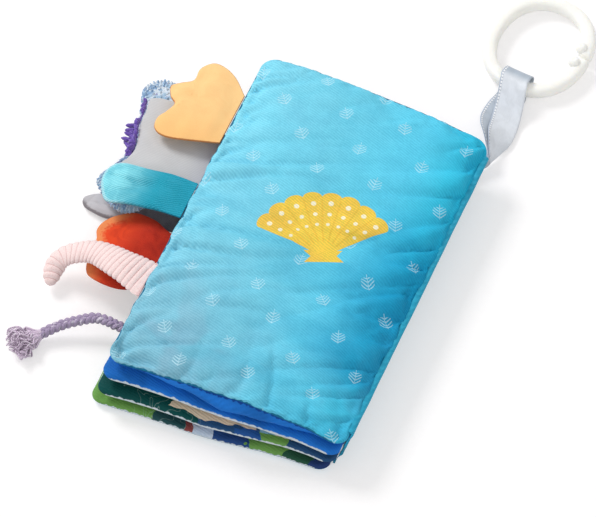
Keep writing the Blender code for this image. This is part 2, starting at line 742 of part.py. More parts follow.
def ring_frame():
    """Middle of the ring, its two unit directions, and the place of the ribbon's loop on it."""
    along = Vector((-math.sin(RING_TURN), math.cos(RING_TURN), 0.0))
    across = Vector((math.cos(RING_TURN), math.sin(RING_TURN), 0.0))
    loop = ribbon_pivot() + Vector((-RIBBON_LEAN, RIBBON_LENGTH, 0.0))
    loop.z = RIBBON_FLOOR_CLEARANCE + RIBBON_THICKNESS + RING_LOOP_CLEARANCE + RING_BAR / 2
    return loop + along * RING_HALF_ALONG, across, along, loop


def ribbon_pivot():
    """Foot of the upright line on which the ribbon swings, just past the top cover's end."""
    slide_x, slide_y = leaf_slide(LEAF_COUNT - 1)
    return Vector((HALF_WIDTH + slide_x - RIBBON_PIVOT_PAST_COVER, HALF_LENGTH + slide_y + RIBBON_PIVOT_PAST_COVER, 0.0))


def ring_place(angle):
    """A place on the ring's middle line, a little fuller than an oval, and the direction outwards from it."""
    centre, across, along, _ = ring_frame()
    wide = math.copysign(abs(math.cos(angle)) ** RING_FULLNESS_SHARE, math.cos(angle))
    long = math.copysign(abs(math.sin(angle)) ** RING_FULLNESS_SHARE, math.sin(angle))
    outward = across * math.cos(angle) * RING_HALF_ALONG + along * math.sin(angle) * RING_HALF_ACROSS
    return centre + across * RING_HALF_ACROSS * wide + along * RING_HALF_ALONG * long, outward.normalized()


def make_ring():
    """An oval split ring of round bar whose two ends close at a pair of knobs."""
    gap = RING_SPLIT / RING_HALF_ACROSS
    stations = []
    for k in range(RING_STATIONS + 1):
        angle = RING_SPLIT_ANGLE + gap / 2 + (2 * math.pi - gap) * k / RING_STATIONS
        place, outward = ring_place(angle)
        ring = []
        for side in range(RING_SIDES):
            turn = 2 * math.pi * side / RING_SIDES
            ring.append(place + RING_BAR / 2 * (outward * math.cos(turn) + Vector((0.0, 0.0, math.sin(turn)))))
        stations.append(ring)
    obj = swept_solid("link_ring", stations, "milky_plastic")
    for number, sign in enumerate((1, -1)):
        angle = RING_SPLIT_ANGLE + sign * KNOB_SPREAD / RING_HALF_ACROSS
        place, outward = ring_place(angle)
        place -= outward * KNOB_INSET_SHARE * RING_BAR
        place.z += KNOB_RISE_SHARE * RING_BAR
        mesh = bpy.data.meshes.new(f"knob_{number}")
        made = bmesh.new()
        bmesh.ops.create_uvsphere(made, u_segments=KNOB_SEGMENTS, v_segments=KNOB_RINGS, radius=KNOB_RADIUS)
        made.to_mesh(mesh)
        made.free()
        knob = bpy.data.objects.new(f"knob_{number}", mesh)
        bpy.context.scene.collection.objects.link(knob)
        knob.location = place
        knob.hide_render = True
        knob.display_type = "WIRE"
        join = obj.modifiers.new(f"knob_{number}", "BOOLEAN")
        join.operation = "UNION"
        join.solver = "EXACT"
        join.object = knob
    return obj


def strip_station(middle, wide, normal, half_width, half_thick):
    """Ring of points round a strip: across its under face and back across its upper face."""
    side = wide * half_width
    rise = normal * half_thick
    under = [middle + side * share - rise for share in RIBBON_ACROSS_SHARES]
    upper = [middle + side * share + rise for share in RIBBON_ACROSS_SHARES]
    return under + upper[::-1]


def ribbon_twist(share):
    """Direction across the ribbon at a share of its way from the book to the ring."""
    tilt = math.pi / 2 * between(share, RIBBON_TILT_SHARES)
    turn = RING_TURN * ease(share)
    flat = Vector((math.cos(turn), math.sin(turn), 0.0))
    return (flat * math.cos(tilt) - Vector((0.0, 0.0, math.sin(tilt)))).normalized()


def ribbon_middle(share):
    """Middle of the ribbon pair, and half its width, at a share of its way from the book to the ring."""
    loop = ring_frame()[3]
    start = ribbon_pivot()
    start.y += RIBBON_PIVOT_GAP
    place = start.lerp(loop, share)
    place.x += RIBBON_BOW * math.sin(math.pi * share)
    open_share = ease(share / RIBBON_OPENING_SHARE)
    half = RIBBON_WIDTH / 2 * (RIBBON_PIVOT_WIDTH_SHARE + (1 - RIBBON_PIVOT_WIDTH_SHARE) * open_share)
    drop = abs(ribbon_twist(share).z) * half
    place.z = max(RIBBON_FLOOR_CLEARANCE + RIBBON_THICKNESS + RIBBON_STRAND_GAP + drop, loop.z * ease(share))
    return place, half


def turned(station):
    """The same station with its two faces changed over, for a strip that has folded back on itself."""
    return station[::-1]


def make_ribbon_loop():
    """The ribbon from where it bends beyond the book, round the ring's bar and back, as one folded strip."""
    _, across, along, loop = ring_frame()
    thick = RIBBON_THICKNESS / 2
    near = RIBBON_STRAND_GAP / 2 + thick
    low = RING_BAR / 2 + RING_LOOP_CLEARANCE + thick
    # The bar is curved, so its sides need more room the wider the ribbon is and the more it slants
    sagitta = (RIBBON_WIDTH / 2 + RIBBON_SKEW) ** 2 * RING_HALF_ALONG / (2 * RING_HALF_ACROSS**2)
    high = low + sagitta
    under, over = [], []
    for step in range(RIBBON_STEPS + 1):
        share = step / RIBBON_STEPS
        middle, half = ribbon_middle(share)
        wide = ribbon_twist(share)
        normal = wide.cross(along).normalized()
        parting = ease((share - RIBBON_PARTING_SHARE) / (1.0 - RIBBON_PARTING_SHARE))
        under.append(strip_station(middle - normal * (near + (low - near) * parting), wide, normal, half, thick))
        over.append(strip_station(middle + normal * (near + (high - near) * parting), wide, normal, half, thick))
    bend = []
    for step in range(1, LOOP_STEPS):
        angle = math.pi * (step / LOOP_STEPS - 0.5)
        out = along * math.cos(angle) + Vector((0.0, 0.0, math.sin(angle)))
        middle = loop + Vector((0.0, 0.0, sagitta / 2)) + out * (low + high) / 2
        middle += along * sagitta * math.cos(angle)
        bend.append(strip_station(middle, across, -out, RIBBON_WIDTH / 2, thick))
    stations = under + bend + [turned(station) for station in over[::-1]]
    return swept_solid("ribbon_loop", stations, "blue_grey_ribbon", strip=True)


def make_ribbon_base():
    """The sewn end of the ribbon: pinched in the bottom cover's seam, then opening out to where it bends."""
    reach = LEAF_CORNER + RIBBON_ROOT_SEAT
    start = Vector((HALF_WIDTH - LEAF_CORNER, HALF_LENGTH - LEAF_CORNER, RIBBON_ROOT_HEIGHT))
    start.x += reach * math.cos(RIBBON_ROOT_TURN)
    start.y += reach * math.sin(RIBBON_ROOT_TURN)
    end, end_half = ribbon_middle(0.0)
    end.y -= 2 * RIBBON_PIVOT_GAP
    thick = RIBBON_THICKNESS + RIBBON_STRAND_GAP / 2
    stations = []
    for step in range(RIBBON_BASE_STEPS + 1):
        t = step / RIBBON_BASE_STEPS
        middle = start.lerp(end, t)
        middle.x = start.x + (end.x - start.x) * ease(t)
        half = RIBBON_ROOT_WIDTH / 2 + (end_half - RIBBON_ROOT_WIDTH / 2) * t
        middle.z = max(middle.z, half + RIBBON_FLOOR_CLEARANCE + thick)
        stations.append(strip_station(middle, Vector((0.0, 0.0, -1.0)), Vector((1.0, 0.0, 0.0)), half, thick))
    return swept_solid("ribbon_base", stations, "blue_grey_ribbon", strip=True)


LEAF_FINISHES = (
    ("leaf_green_print", "turquoise_twill"),
    ("sea_green_print", "leaf_green_print"),
    ("royal_blue_print", "sea_green_print"),
    ("turquoise_twill", "royal_blue_print"),
)


def make_tails(index):
    """The tails sewn into this leaf's fore edge."""
    if index == 3:
        return [
            flat_tail(
                "tail_orange", index, ORANGE_REACH, ORANGE_WIDTH, ORANGE_THICKNESS, ORANGE_PLACE_SHARE,
                ORANGE_OUTLINE_SHARES, ORANGE_HEIGHT_SHARES, "orange_velour",
            ),
            flat_tail(
                "tail_turquoise", index, TURQUOISE_REACH, TURQUOISE_WIDTH, TURQUOISE_THICKNESS,
                TURQUOISE_PLACE_SHARE, TURQUOISE_OUTLINE_SHARES, TURQUOISE_HEIGHT_SHARES, "turquoise_minky",
            ),
            make_pink_tail(index),
        ]
    if index == 2:
        return [
            flat_tail(
                "tail_grey", index, GREY_REACH, GREY_WIDTH, GREY_THICKNESS, GREY_PLACE_SHARE,
                GREY_OUTLINE_SHARES, GREY_HEIGHT_SHARES, "grey_satin",
            ),
            make_grey_fringe(index),
            flat_tail(
                "tail_red", index, RED_REACH, RED_WIDTH, RED_THICKNESS, RED_PLACE_SHARE,
                RED_OUTLINE_SHARES, RED_HEIGHT_SHARES, "red_velour",
            ),
        ]
    if index == 1:
        return [
            flat_tail(
                "tail_plush", index, PLUSH_REACH, PLUSH_WIDTH, PLUSH_THICKNESS, PLUSH_PLACE_SHARE,
                PLUSH_OUTLINE_SHARES, PLUSH_HEIGHT_SHARES, "pale_blue_plush",
            ),
            flat_tail(
                "tail_velvet", index, VELVET_REACH, VELVET_WIDTH, VELVET_THICKNESS, VELVET_PLACE_SHARE,
                VELVET_OUTLINE_SHARES, VELVET_HEIGHT_SHARES, "dark_grey_velvet",
            ),
            make_cord(),
            make_tuft(),
        ]
    return []


def flap_axis(index):
    """A point on the line where a tail bends up, at the top of its sewn edge."""
    slide_x, _ = leaf_slide(index)
    return Vector((slide_x - HALF_WIDTH - TAIL_SEAT, 0.0, seam_height(index) + SEAM_HALF + TAIL_SEAT / 2))


FLAPS = ("tail_orange", "tail_turquoise", "tail_pink")


def build():
    clear_scene()
    axis = (SPINE_AXIS_X, 0.0, SPINE_AXIS_Z)
    parent = None
    for index, (upper, lower) in enumerate(LEAF_FINISHES):
        slide_x, slide_y = leaf_slide(index)
        pieces = make_leaf(index, upper, lower) + [make_spine(index)] + make_tails(index)
        for piece in pieces:
            piece.location = (slide_x, slide_y, 0.0)
        bpy.context.view_layer.update()
        parent = pivot(f"{LEAF_NAMES[index]}_axis", axis, parent)
        for piece in pieces:
            if piece.name in FLAPS:
                hinge = flap_axis(index)
                set_origin(piece, hinge - Vector((slide_x, slide_y, 0.0)))
                piece.location = hinge
            attach(piece, parent)
    root = bpy.data.objects[f"{LEAF_NAMES[0]}_axis"]
    base = make_ribbon_base()
    attach(base, root)
    swing = pivot("ribbon_axis", ribbon_pivot(), root)
    attach(make_ribbon_loop(), swing)
    turn = pivot("ring_axis", ring_frame()[3], swing)
    ring = make_ring()
    attach(ring, turn)
    for knob in bpy.data.objects:
        if knob.name.startswith("knob_"):
            attach(knob, turn)


build()
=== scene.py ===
"""Crinkle cloth book: the padded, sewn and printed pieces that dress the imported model, and the studio round it."""
import math

import bmesh
import bpy
from bpy.props import FloatProperty, FloatVectorProperty, PointerProperty
from mathutils import Matrix, Vector, noise


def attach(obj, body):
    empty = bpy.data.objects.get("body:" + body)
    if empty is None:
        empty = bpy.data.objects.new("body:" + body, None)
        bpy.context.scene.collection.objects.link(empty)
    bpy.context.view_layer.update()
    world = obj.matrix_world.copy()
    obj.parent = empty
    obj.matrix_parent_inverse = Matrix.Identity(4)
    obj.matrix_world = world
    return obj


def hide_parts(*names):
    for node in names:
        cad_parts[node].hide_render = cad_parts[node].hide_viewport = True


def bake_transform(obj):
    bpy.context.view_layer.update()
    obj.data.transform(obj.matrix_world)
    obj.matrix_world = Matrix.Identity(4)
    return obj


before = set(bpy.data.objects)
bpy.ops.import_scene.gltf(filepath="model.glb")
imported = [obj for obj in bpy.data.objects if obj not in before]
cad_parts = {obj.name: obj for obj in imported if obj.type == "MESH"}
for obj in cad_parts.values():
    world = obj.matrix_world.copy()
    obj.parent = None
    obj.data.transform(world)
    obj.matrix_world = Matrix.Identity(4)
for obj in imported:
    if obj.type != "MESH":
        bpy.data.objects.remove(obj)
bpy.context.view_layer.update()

bl_info = {
    "name": "Crinkle Cloth Book",
    "version": (1, 0, 0),
    "blender": (4, 5, 0),
    "location": "View3D > Sidebar > Cloth Book",
    "description": "Dresses the packed cloth book in sewn, printed and padded cloth",
    "category": "Object",
}

# Leaves, in the order they lie on the table, the bodies they ride on, and how far each lies along x and y
LEAVES = ("cover_bottom", "leaf_2", "leaf_1", "cover_top")
LEAF_BODIES = ("bottom_cover", "second_leaf", "first_leaf", "top_cover")
SLIDES = ((0.0, 0.0), (0.0031, 0.000495), (0.004464, 0.00495), (0.0062, 0.0099))

# The step from leaf to leaf, half a leaf's thickness, how much further apart the fore edges are than the spine edges,
# the corners' radius, how far in the edges round off, half the thickness of the seam, how far in the seam closes, and
# how far in its wander reaches
LEAF_PITCH = 0.0057
HALF_LEAF = 0.0027
FORE_LIFT = 0.0032
LEAF_CORNER = 0.0075
EDGE_ROLL = 0.0085
SEAM_HALF = 0.00065
SEAM_EDGE = 0.0009
SEAM_REACH = 0.006

# The top cover's crown and dome, how far in from the fore edge and the near end the dome rises, and the bulge of its
# near side
COVER_CROWN = 0.0016
COVER_DOME = 0.0060
DOME_SIDE = 0.0030
DOME_END = 0.060
SIDE_BULGE = 0.0072

# How far the padding draws the near end in, between its corners and towards the spine, with each leaf's share
NEAR_BOW = 0.0040
NEAR_BOW_SHARES = (0.75, 1.0, 0.90, 0.65)
NEAR_DRAW = 0.0085
NEAR_DRAW_SHARES = (0.82, 1.0, 0.60, 0.50)
NEAR_BOW_REACH = 0.050

# Places in from a sewn edge, close together where the cloth turns round it
EDGE_PLACES = (0.0, 0.0003, 0.0008, 0.0015, 0.0024, 0.0035, 0.0048, 0.0062, 0.0078, 0.0096)

# Room between a leaf's edge and what is sewn to it
TAIL_SEAT = 0.0003

# Where the ribbon leaves the book and where the ring lies, how the ring is turned and split, and its shape from its
# middle line
RIBBON_PIVOT = (0.0654, 0.1092, 0.0)
RING_PLACE = (0.0603, 0.1570, 0.005)
RING_TURN = math.radians(-6.0)
RING_SPLIT_ANGLE = math.radians(6.0)
RING_SPLIT = 0.0009
RING_ACROSS = 0.0238
RING_ALONG = 0.0279

# How far the swelling may move the cover's upper cloth, for x, y and z
SWELL_LIMITS = ((-0.0012, 0.0012), (-0.0012, 0.0012), (-0.0006, 0.0014))
SWELL_FRAMES = 20


def linear(red, green, blue):
    """Linear colour of a screen colour given in steps of 255."""
    return tuple((v / 255 / 12.92) if v <= 10 else ((v / 255 + 0.055) / 1.055) ** 2.4 for v in (red, green, blue))


def length_setting(name, description, value):
    """A property that holds a length in metres."""
    return FloatProperty(name=name, description=description, default=value, unit="LENGTH")


def colour_setting(name, description, value):
    """A property that holds a linear colour."""
    return FloatVectorProperty(name=name, description=description, subtype="COLOR", size=3, min=0.0, max=1.0,
                               default=value)


class ClothBookSizes(bpy.types.PropertyGroup):
    """Sizes of the cloth book's pieces."""

    half_width: length_setting("Half Width", "Half the width of a leaf", 0.061)
    half_length: length_setting("Half Length", "Half the length of a leaf", 0.0975)
    cover_cell: length_setting("Cover Cell", "Size of the cover's mesh cells", 0.0015)
    page_cell: length_setting("Page Cell", "Size of the inner leaves' mesh cells", 0.0036)
    pucker: length_setting("Pucker", "Height of the puckers along the sewn edges", 0.0011)
    rib_pitch: length_setting("Rib Pitch", "Distance between the corduroy's ribs", 0.0031)
    cord_diameter: length_setting("Cord Diameter", "Thickness of the braided cord", 0.0056)
    ring_bar: length_setting("Ring Bar", "Thickness of the link ring's bar", 0.0076)


class ClothBookColours(bpy.types.PropertyGroup):
    """Colours of the cloth book's pieces."""

    cover: colour_setting("Cover", "Middle blue of the printed cover", linear(94, 196, 226))
    page_blue: colour_setting("Page Blue", "Blue of the first page", linear(34, 124, 220))
    page_dark: colour_setting("Page Dark", "Dark green of the second page", linear(8, 76, 74))
    page_green: colour_setting("Page Green", "Light green of the last page", linear(114, 164, 84))
    page_cream: colour_setting("Page Cream", "Cream patch of the second page", linear(244, 222, 194))
    motif: colour_setting("Motif", "Yellow of the printed shell", linear(250, 216, 84))
    orange: colour_setting("Orange", "Orange velour tail", linear(253, 206, 140))
    turquoise: colour_setting("Turquoise", "Turquoise plush tail", linear(18, 162, 188))
    grey: colour_setting("Grey", "Smooth grey tail", linear(204, 204, 206))
    purple: colour_setting("Purple", "Chenille trim", linear(128, 98, 200))
    red: colour_setting("Red", "Red velour tail", linear(226, 70, 36))
    plush: colour_setting("Plush", "Speckled pale plush", linear(176, 206, 232))
    velvet: colour_setting("Velvet", "Grey velvet tail", linear(196, 192, 196))
    pink: colour_setting("Pink", "Corduroy tail", linear(250, 224, 221))
    lilac: colour_setting("Lilac", "Braided cord", linear(184, 166, 198))
    ribbon: colour_setting("Ribbon", "Satin ribbon", linear(232, 237, 244))
    ring: colour_setting("Ring", "Milky link ring", linear(247, 246, 241))


def sizes():
    return bpy.context.scene.cloth_book_sizes


def colours():
    return bpy.context.scene.cloth_book_colours


# Shape helpers


def ease(value):
    """A smooth rise from 0 to 1 while the value goes from 0 to 1, and level beyond them."""
    value = min(1.0, max(0.0, value))
    return value * value * (3.0 - 2.0 * value)


def between(value, table):
    """Value read from a table of (place, value) pairs, with straight runs between them."""
    for (x0, y0), (x1, y1) in zip(table, table[1:]):
        if value <= x1:
            return y0 + (y1 - y0) * max(0.0, value - x0) / (x1 - x0)
    return table[-1][1]


UP = Vector((0.0, 0.0, 1.0))


def smooth_route(points, steps):
    """Catmull-Rom curve through the points, with steps pieces between each two."""
    ends = [2 * points[0] - points[1], *points, 2 * points[-1] - points[-2]]
    route = [points[0]]
    for a, b, c, d in zip(ends, ends[1:], ends[2:], ends[3:]):
        for step in range(1, steps + 1):
            t = step / steps
            route.append(
                0.5 * (2 * b + t * (c - a) + t * t * (2 * a - 5 * b + 4 * c - d) + t**3 * (3 * b - a - 3 * c + d))
            )
    return route


def ways_along(route):
    """Distance along a route to each of its points."""
    ways = [0.0]
    for a, b in zip(route, route[1:]):
        ways.append(ways[-1] + (b - a).length)
    return ways


def even_route(route, count):
    """The same curve with count points spaced evenly along it."""
    ways = ways_along(route)
    places = []
    start = 0
    for k in range(count):
        goal = ways[-1] * k / (count - 1)
        while start < len(route) - 2 and ways[start + 1] < goal:
            start += 1
        run = ways[start + 1] - ways[start]
        places.append(route[start].lerp(route[start + 1], (goal - ways[start]) / run if run else 0.0))
    return places


def piece(name, vertices, faces, material, flat, edge=None):
    """A new object whose faces point outwards, with its cloth laid flat in a UV map, in metres.

    A second map, edge, can hold each point's distance in from the outline and its way along it.
    """
    mesh = bpy.data.meshes.new(name)
    mesh.from_pydata([tuple(v) for v in vertices], [], faces)
    shaped = bmesh.new()
    shaped.from_mesh(mesh)
    bmesh.ops.recalc_face_normals(shaped, faces=shaped.faces)
    shaped.to_mesh(mesh)
    shaped.free()
    mesh.shade_smooth()
    for label, places in (("cloth", flat), ("edge", edge)):
        if places is not None:
            layer = mesh.uv_layers.new(name=label)
            for loop in mesh.loops:
                layer.data[loop.index].uv = places[loop.vertex_index]
    mesh.materials.append(material)
    obj = bpy.data.objects.new(name, mesh)
    bpy.context.scene.collection.objects.link(obj)
    return obj


def ring_faces(rings, count):
    """Faces of a closed tube with count points in each ring."""
    faces = []
    for s in range(rings - 1):
        for k in range(count):
            m = (k + 1) % count
            faces.append([s * count + k, s * count + m, (s + 1) * count + m, (s + 1) * count + k])
    return faces + [list(range(count))[::-1], list(range((rings - 1) * count, rings * count))]


def frames_along(route, across=None):
    """(place, across, rise) for each point of a route, with as little turn as can be from one to the next."""
    across = across or UP.cross(route[1] - route[0]).normalized()
    frames = []
    for k, place in enumerate(route):
        ahead = (route[min(k + 1, len(route) - 1)] - route[max(k - 1, 0)]).normalized()
        across = (across - ahead * across.dot(ahead)).normalized()
        frames.append((place, across, ahead.cross(across)))
    return frames


def tube(route, radius, sides, across=None):
    """Rings of points along a route; radius is a function of the share of the way and the angle round it."""
    rings = []
    for k, (place, wide, rise) in enumerate(frames_along(route, across)):
        for side in range(sides):
            angle = 2 * math.pi * side / sides
            out = wide * math.cos(angle) + rise * math.sin(angle)
            rings.append(place + out * radius(k / (len(route) - 1), angle))
    return rings


def joined(name, parts, material):
    """One object from (vertices, faces, flat) parts."""
    vertices, faces, flat = [], [], []
    for more_vertices, more_faces, more_flat in parts:
        start = len(vertices)
        vertices.extend(more_vertices)
        faces.extend([[v + start for v in face] for face in more_faces])
        flat.extend(more_flat)
    return piece(name, vertices, faces, material, flat)


def sharpen(obj, degrees):
    obj.data.set_sharp_from_angle(angle=math.radians(degrees))


# Shader helpers


class Wire:
    """An output in a shader tree. Arithmetic on it adds math nodes, and a comparison gives 1 or 0."""

    def __init__(self, socket):
        self.socket = socket
        self.tree = socket.id_data

    def math(self, operation, *others):
        return put(self.tree, "ShaderNodeMath", {"operation": operation}, dict(enumerate((self, *others))))

    def __add__(self, other):
        return self.math("ADD", other)

    def __sub__(self, other):
        return self.math("SUBTRACT", other)

    def __rsub__(self, other):
        return self.math("MULTIPLY_ADD", -1.0, other)

    def __mul__(self, other):
        return self.math("MULTIPLY", other)

    def __truediv__(self, other):
        return self.math("DIVIDE", other)

    def __lt__(self, other):
        return self.math("LESS_THAN", other)

    def __gt__(self, other):
        return self.math("GREATER_THAN", other)

    def __abs__(self):
        return self.math("ABSOLUTE")

    def ramp(self, low, high, to_low=0.0, to_high=1.0, kind="SMOOTHSTEP"):
        """Runs from to_low to to_high while this runs from low to high, and holds still beyond them."""
        inputs = {"Value": self, "From Min": low, "From Max": high, "To Min": to_low, "To Max": to_high}
        return put(self.tree, "ShaderNodeMapRange", {"interpolation_type": kind}, inputs)


def put(tree, kind, settings=None, inputs=None, out=0):
    """Adds a node, sets its settings, fills or links its inputs, and gives its output out as a wire.

    For a tuple out it gives a list with a wire for each.
    """
    made = tree.nodes.new(kind)
    for key, value in (settings or {}).items():
        setattr(made, key, value)
    for key, value in (inputs or {}).items():
        if isinstance(value, Wire):
            tree.links.new(value.socket, made.inputs[key])
        else:
            made.inputs[key].default_value = value
    if isinstance(out, tuple):
        return [Wire(made.outputs[key]) for key in out]
    return Wire(made.outputs[out])


def xyz(place):
    """The three numbers of a vector or colour."""
    return put(place.tree, "ShaderNodeSeparateXYZ", None, {0: place}, (0, 1, 2))


def vector_of(operation, place, *others, out=0):
    """A vector math node's output out."""
    inputs = dict(enumerate((place, *others)))
    return put(place.tree, "ShaderNodeVectorMath", {"operation": operation}, inputs, out)


def spun(place, angle):
    """A place turned about the origin by an angle."""
    inputs = {"Vector": place, "Angle": angle}
    return put(place.tree, "ShaderNodeVectorRotate", {"rotation_type": "Z_AXIS"}, inputs)


def mixed(share, first, second, mode="MIX"):
    """The colour a share of the way from first to second; at least one of the three is a wire."""
    tree = next(v.tree for v in (share, first, second) if isinstance(v, Wire))
    first, second = ((*v, 1.0) if isinstance(v, tuple) else v for v in (first, second))
    return put(tree, "ShaderNodeMix", {"data_type": "RGBA", "blend_type": mode}, {0: share, 6: first, 7: second}, 2)


def times(tint, shares):
    """A colour, or a wire with one, multiplied by a share for red, green and blue or one for all three."""
    shares = (shares,) * 3 if isinstance(shares, float) else shares
    if isinstance(tint, Wire):
        return mixed(1.0, tint, shares, "MULTIPLY")
    return tuple(v * share for v, share in zip(tint, shares))


def noise_of(place, scale, detail=2.0, roughness=0.5, distortion=0.0):
    inputs = {"Vector": place, "Scale": scale, "Detail": detail, "Roughness": roughness, "Distortion": distortion}
    return put(place.tree, "ShaderNodeTexNoise", None, inputs)


def cells_of(place, scale, randomness=1.0):
    """Distance to the nearest of many scattered points, and a number by chance for that point."""
    inputs = {"Vector": place, "Scale": scale, "Randomness": randomness}
    far, chance = put(place.tree, "ShaderNodeTexVoronoi", {"feature": "F1"}, inputs, ("Distance", "Color"))
    return far, xyz(chance)[0]


def steps_of(value, stops, mode="LINEAR"):
    """Colour ramp through (place, colour) stops."""
    made = put(value.tree, "ShaderNodeValToRGB", None, {"Fac": value})
    ramp = made.socket.node.color_ramp
    ramp.interpolation = mode
    while len(ramp.elements) < len(stops):
        ramp.elements.new(0.5)
    for element, (place, tint) in zip(ramp.elements, stops):
        element.position = place
        element.color = (*tint, 1.0)
    return made


def grouped(name, **defaults):
    """Makes a function of wires into a shader node group that is built at its first use.

    defaults names the group's inputs: a float for a number, and three numbers or None for a vector. The function
    gets a wire for each and returns its number outputs by name. Calling it adds a node of the group, and gives its
    outputs as a list of wires.
    """

    def wrap(fill):
        def build():
            tree = bpy.data.node_groups.new(name, "ShaderNodeTree")
            for label, value in defaults.items():
                kind = "NodeSocketFloat" if isinstance(value, float) else "NodeSocketVector"
                socket = tree.interface.new_socket(name=label, in_out="INPUT", socket_type=kind)
                if value is not None:
                    socket.default_value = value
            start, end = tree.nodes.new("NodeGroupInput"), tree.nodes.new("NodeGroupOutput")
            for label, wire in fill(*(Wire(start.outputs[label]) for label in defaults)).items():
                tree.interface.new_socket(name=label, in_out="OUTPUT", socket_type="NodeSocketFloat")
                tree.links.new(wire.socket, end.inputs[label])
            return tree

        def add(*values):
            tree = bpy.data.node_groups.get(name) or build()
            outputs = tuple(item.name for item in tree.interface.items_tree if item.in_out == "OUTPUT")
            return put(values[0].tree, "ShaderNodeGroup", {"node_tree": tree}, dict(enumerate(values)), outputs)

        return add

    return wrap


@grouped("cloth_weave", Place=None, Pitch=(0.0008, 0.0008, 1.0), Slant=1.0)
def weave(place, pitch, slant):
    """Twill: slanting ribs crossed by finer threads, a little uneven."""
    wander = noise_of(place, 140.0, 3.0)
    across, along, _ = xyz(vector_of("DIVIDE", place, pitch))
    rib = ((across * slant + along + wander * 1.6) * (2 * math.pi)).math("COSINE")
    warp = (across * (4 * math.pi)).math("COSINE")
    height = warp * 0.18 + rib * 0.32 + 0.5
    return {"Height": height, "Shade": wander * 0.5 + height * 0.5}


@grouped("cloth_pile", Place=None, Fineness=1000.0)
def pile(place, fineness):
    """Short pile: fine fibres in small clumps, brushed different ways."""
    place = put(place.tree, "ShaderNodeVectorMath", {"operation": "SCALE"}, {0: place, "Scale": fineness})
    fibre = noise_of(place, 3.4, 3.0, 0.7)
    clump = noise_of(place, 0.55, 2.0, 0.5, 0.6)
    brushed = noise_of(place, 0.09, 2.0, 0.5, 1.5)
    return {"Height": clump * 0.5 + fibre * 0.5, "Clump": clump, "Brushed": brushed, "Fibre": fibre}


@grouped("running_stitch", Across=0.0, Along=0.0, Pitch=0.0028, Width=0.0004)
def stitch(across, along, pitch, width):
    """A running stitch along a line: Across is the distance from the line and Along the way on it, in metres."""
    dash = abs((along / pitch).math("FRACT") - 0.5).ramp(0.30, 0.38, 1.0, 0.0)
    return {"Thread": dash * (abs(across) / width).ramp(0.6, 1.1, 1.0, 0.0)}


@grouped("handling", Place=None, Scale=30.0)
def handling(place, scale):
    """Handling marks: large faint cloudiness and fine specks."""
    cloud = noise_of(place, scale, 4.0, 0.6, 0.4)
    return {"Cloud": cloud, "Shade": noise_of(place, 900.0, 1.0) * 0.25 + cloud * 0.75}


def new_material(name, roughness, sheen=0.0, sheen_tint=(1.0, 1.0, 1.0), specular=0.35):
    """A material with the settings that are the same all over set on its shader."""
    made = bpy.data.materials.new(name)
    made.use_nodes = True
    for label, value in (("Roughness", roughness), ("Specular IOR Level", specular), ("Sheen Weight", sheen),
                         ("Sheen Roughness", 0.45), ("Sheen Tint", (*sheen_tint, 1.0))):
        made.node_tree.nodes["Principled BSDF"].inputs[label].default_value = value
    return made


def finish(made, shade, height, distance, strength, roughness=None):
    """Gives a material its shade, its bumps and, where it is uneven, its roughness."""
    tree = made.node_tree
    normal = put(tree, "ShaderNodeBump", None, {"Height": height, "Distance": distance, "Strength": strength})
    for label, wire in (("Base Color", shade), ("Normal", normal), ("Roughness", roughness)):
        if wire is not None:
            tree.links.new(wire.socket, tree.nodes["Principled BSDF"].inputs[label])
    return made


def mapped(made, name="cloth"):
    """The place in a piece's map called cloth or edge."""
    return put(made.node_tree, "ShaderNodeUVMap", {"uv_map": name})


def solid_place(tree):
    """The place in an object's own space."""
    return put(tree, "ShaderNodeTexCoord", out="Object")


def leaf_share(x):
    """Share of the way across a leaf from its fore edge to the spine."""
    return x.ramp(-sizes().half_width, sizes().half_width, kind="LINEAR")


def leaf_inset(x, y):
    """Distance in from a leaf's sewn edge."""
    return (sizes().half_width - abs(x)).math("MINIMUM", sizes().half_length - abs(y))


def printed_twill(name, print_and_shade, seam=None, seam_width=0.0, contrast=1.0):
    """Satin twill under a print: the print function gets the place, and its x and y, and returns a colour, which for
    the cover and the spine also holds painted light and shade.

    seam and seam_width are the colour and width of the sewn edge, and contrast is how clear the twill's ribs are.
    """
    made = new_material(name, 0.55, specular=0.10)
    place = mapped(made)
    x, y, _ = xyz(place)
    tint = print_and_shade(place, x, y)
    if seam is not None:
        inset = leaf_inset(x, y) + (noise_of(place, 420.0) - 0.5) * 0.0012
        tint = mixed(inset.ramp(seam_width * 1.3, seam_width * 0.7), tint, seam)
    height, shade = weave(place, (0.0013, 0.0013, 1.0), 0.30)
    broken = shade + noise_of(place, 760.0, 3.0, 0.7) * 0.75
    ribbed = mixed(broken.ramp(0.60, 1.15), times(tint, (0.76, 0.85, 0.88)), times(tint, (1.20, 1.08, 1.06)))
    tint = mixed(contrast, tint, ribbed)
    tint = mixed(handling(place, 55.0)[1].ramp(0.40, 0.65), tint, times(tint, (0.90, 0.93, 0.95)))
    return finish(made, tint, height, 0.00022, 0.8)


# The sprigs' repeat: how far in the first column is, the steps between columns and rows, the rows' slope, and the
# distance that chance moves a sprig by
SPRIG_START = 0.0415
SPRIG_COLUMN = 0.0156
SPRIG_ROW = 0.0358
SPRIG_SLANT = 0.133
SPRIG_SCATTER = 0.0032


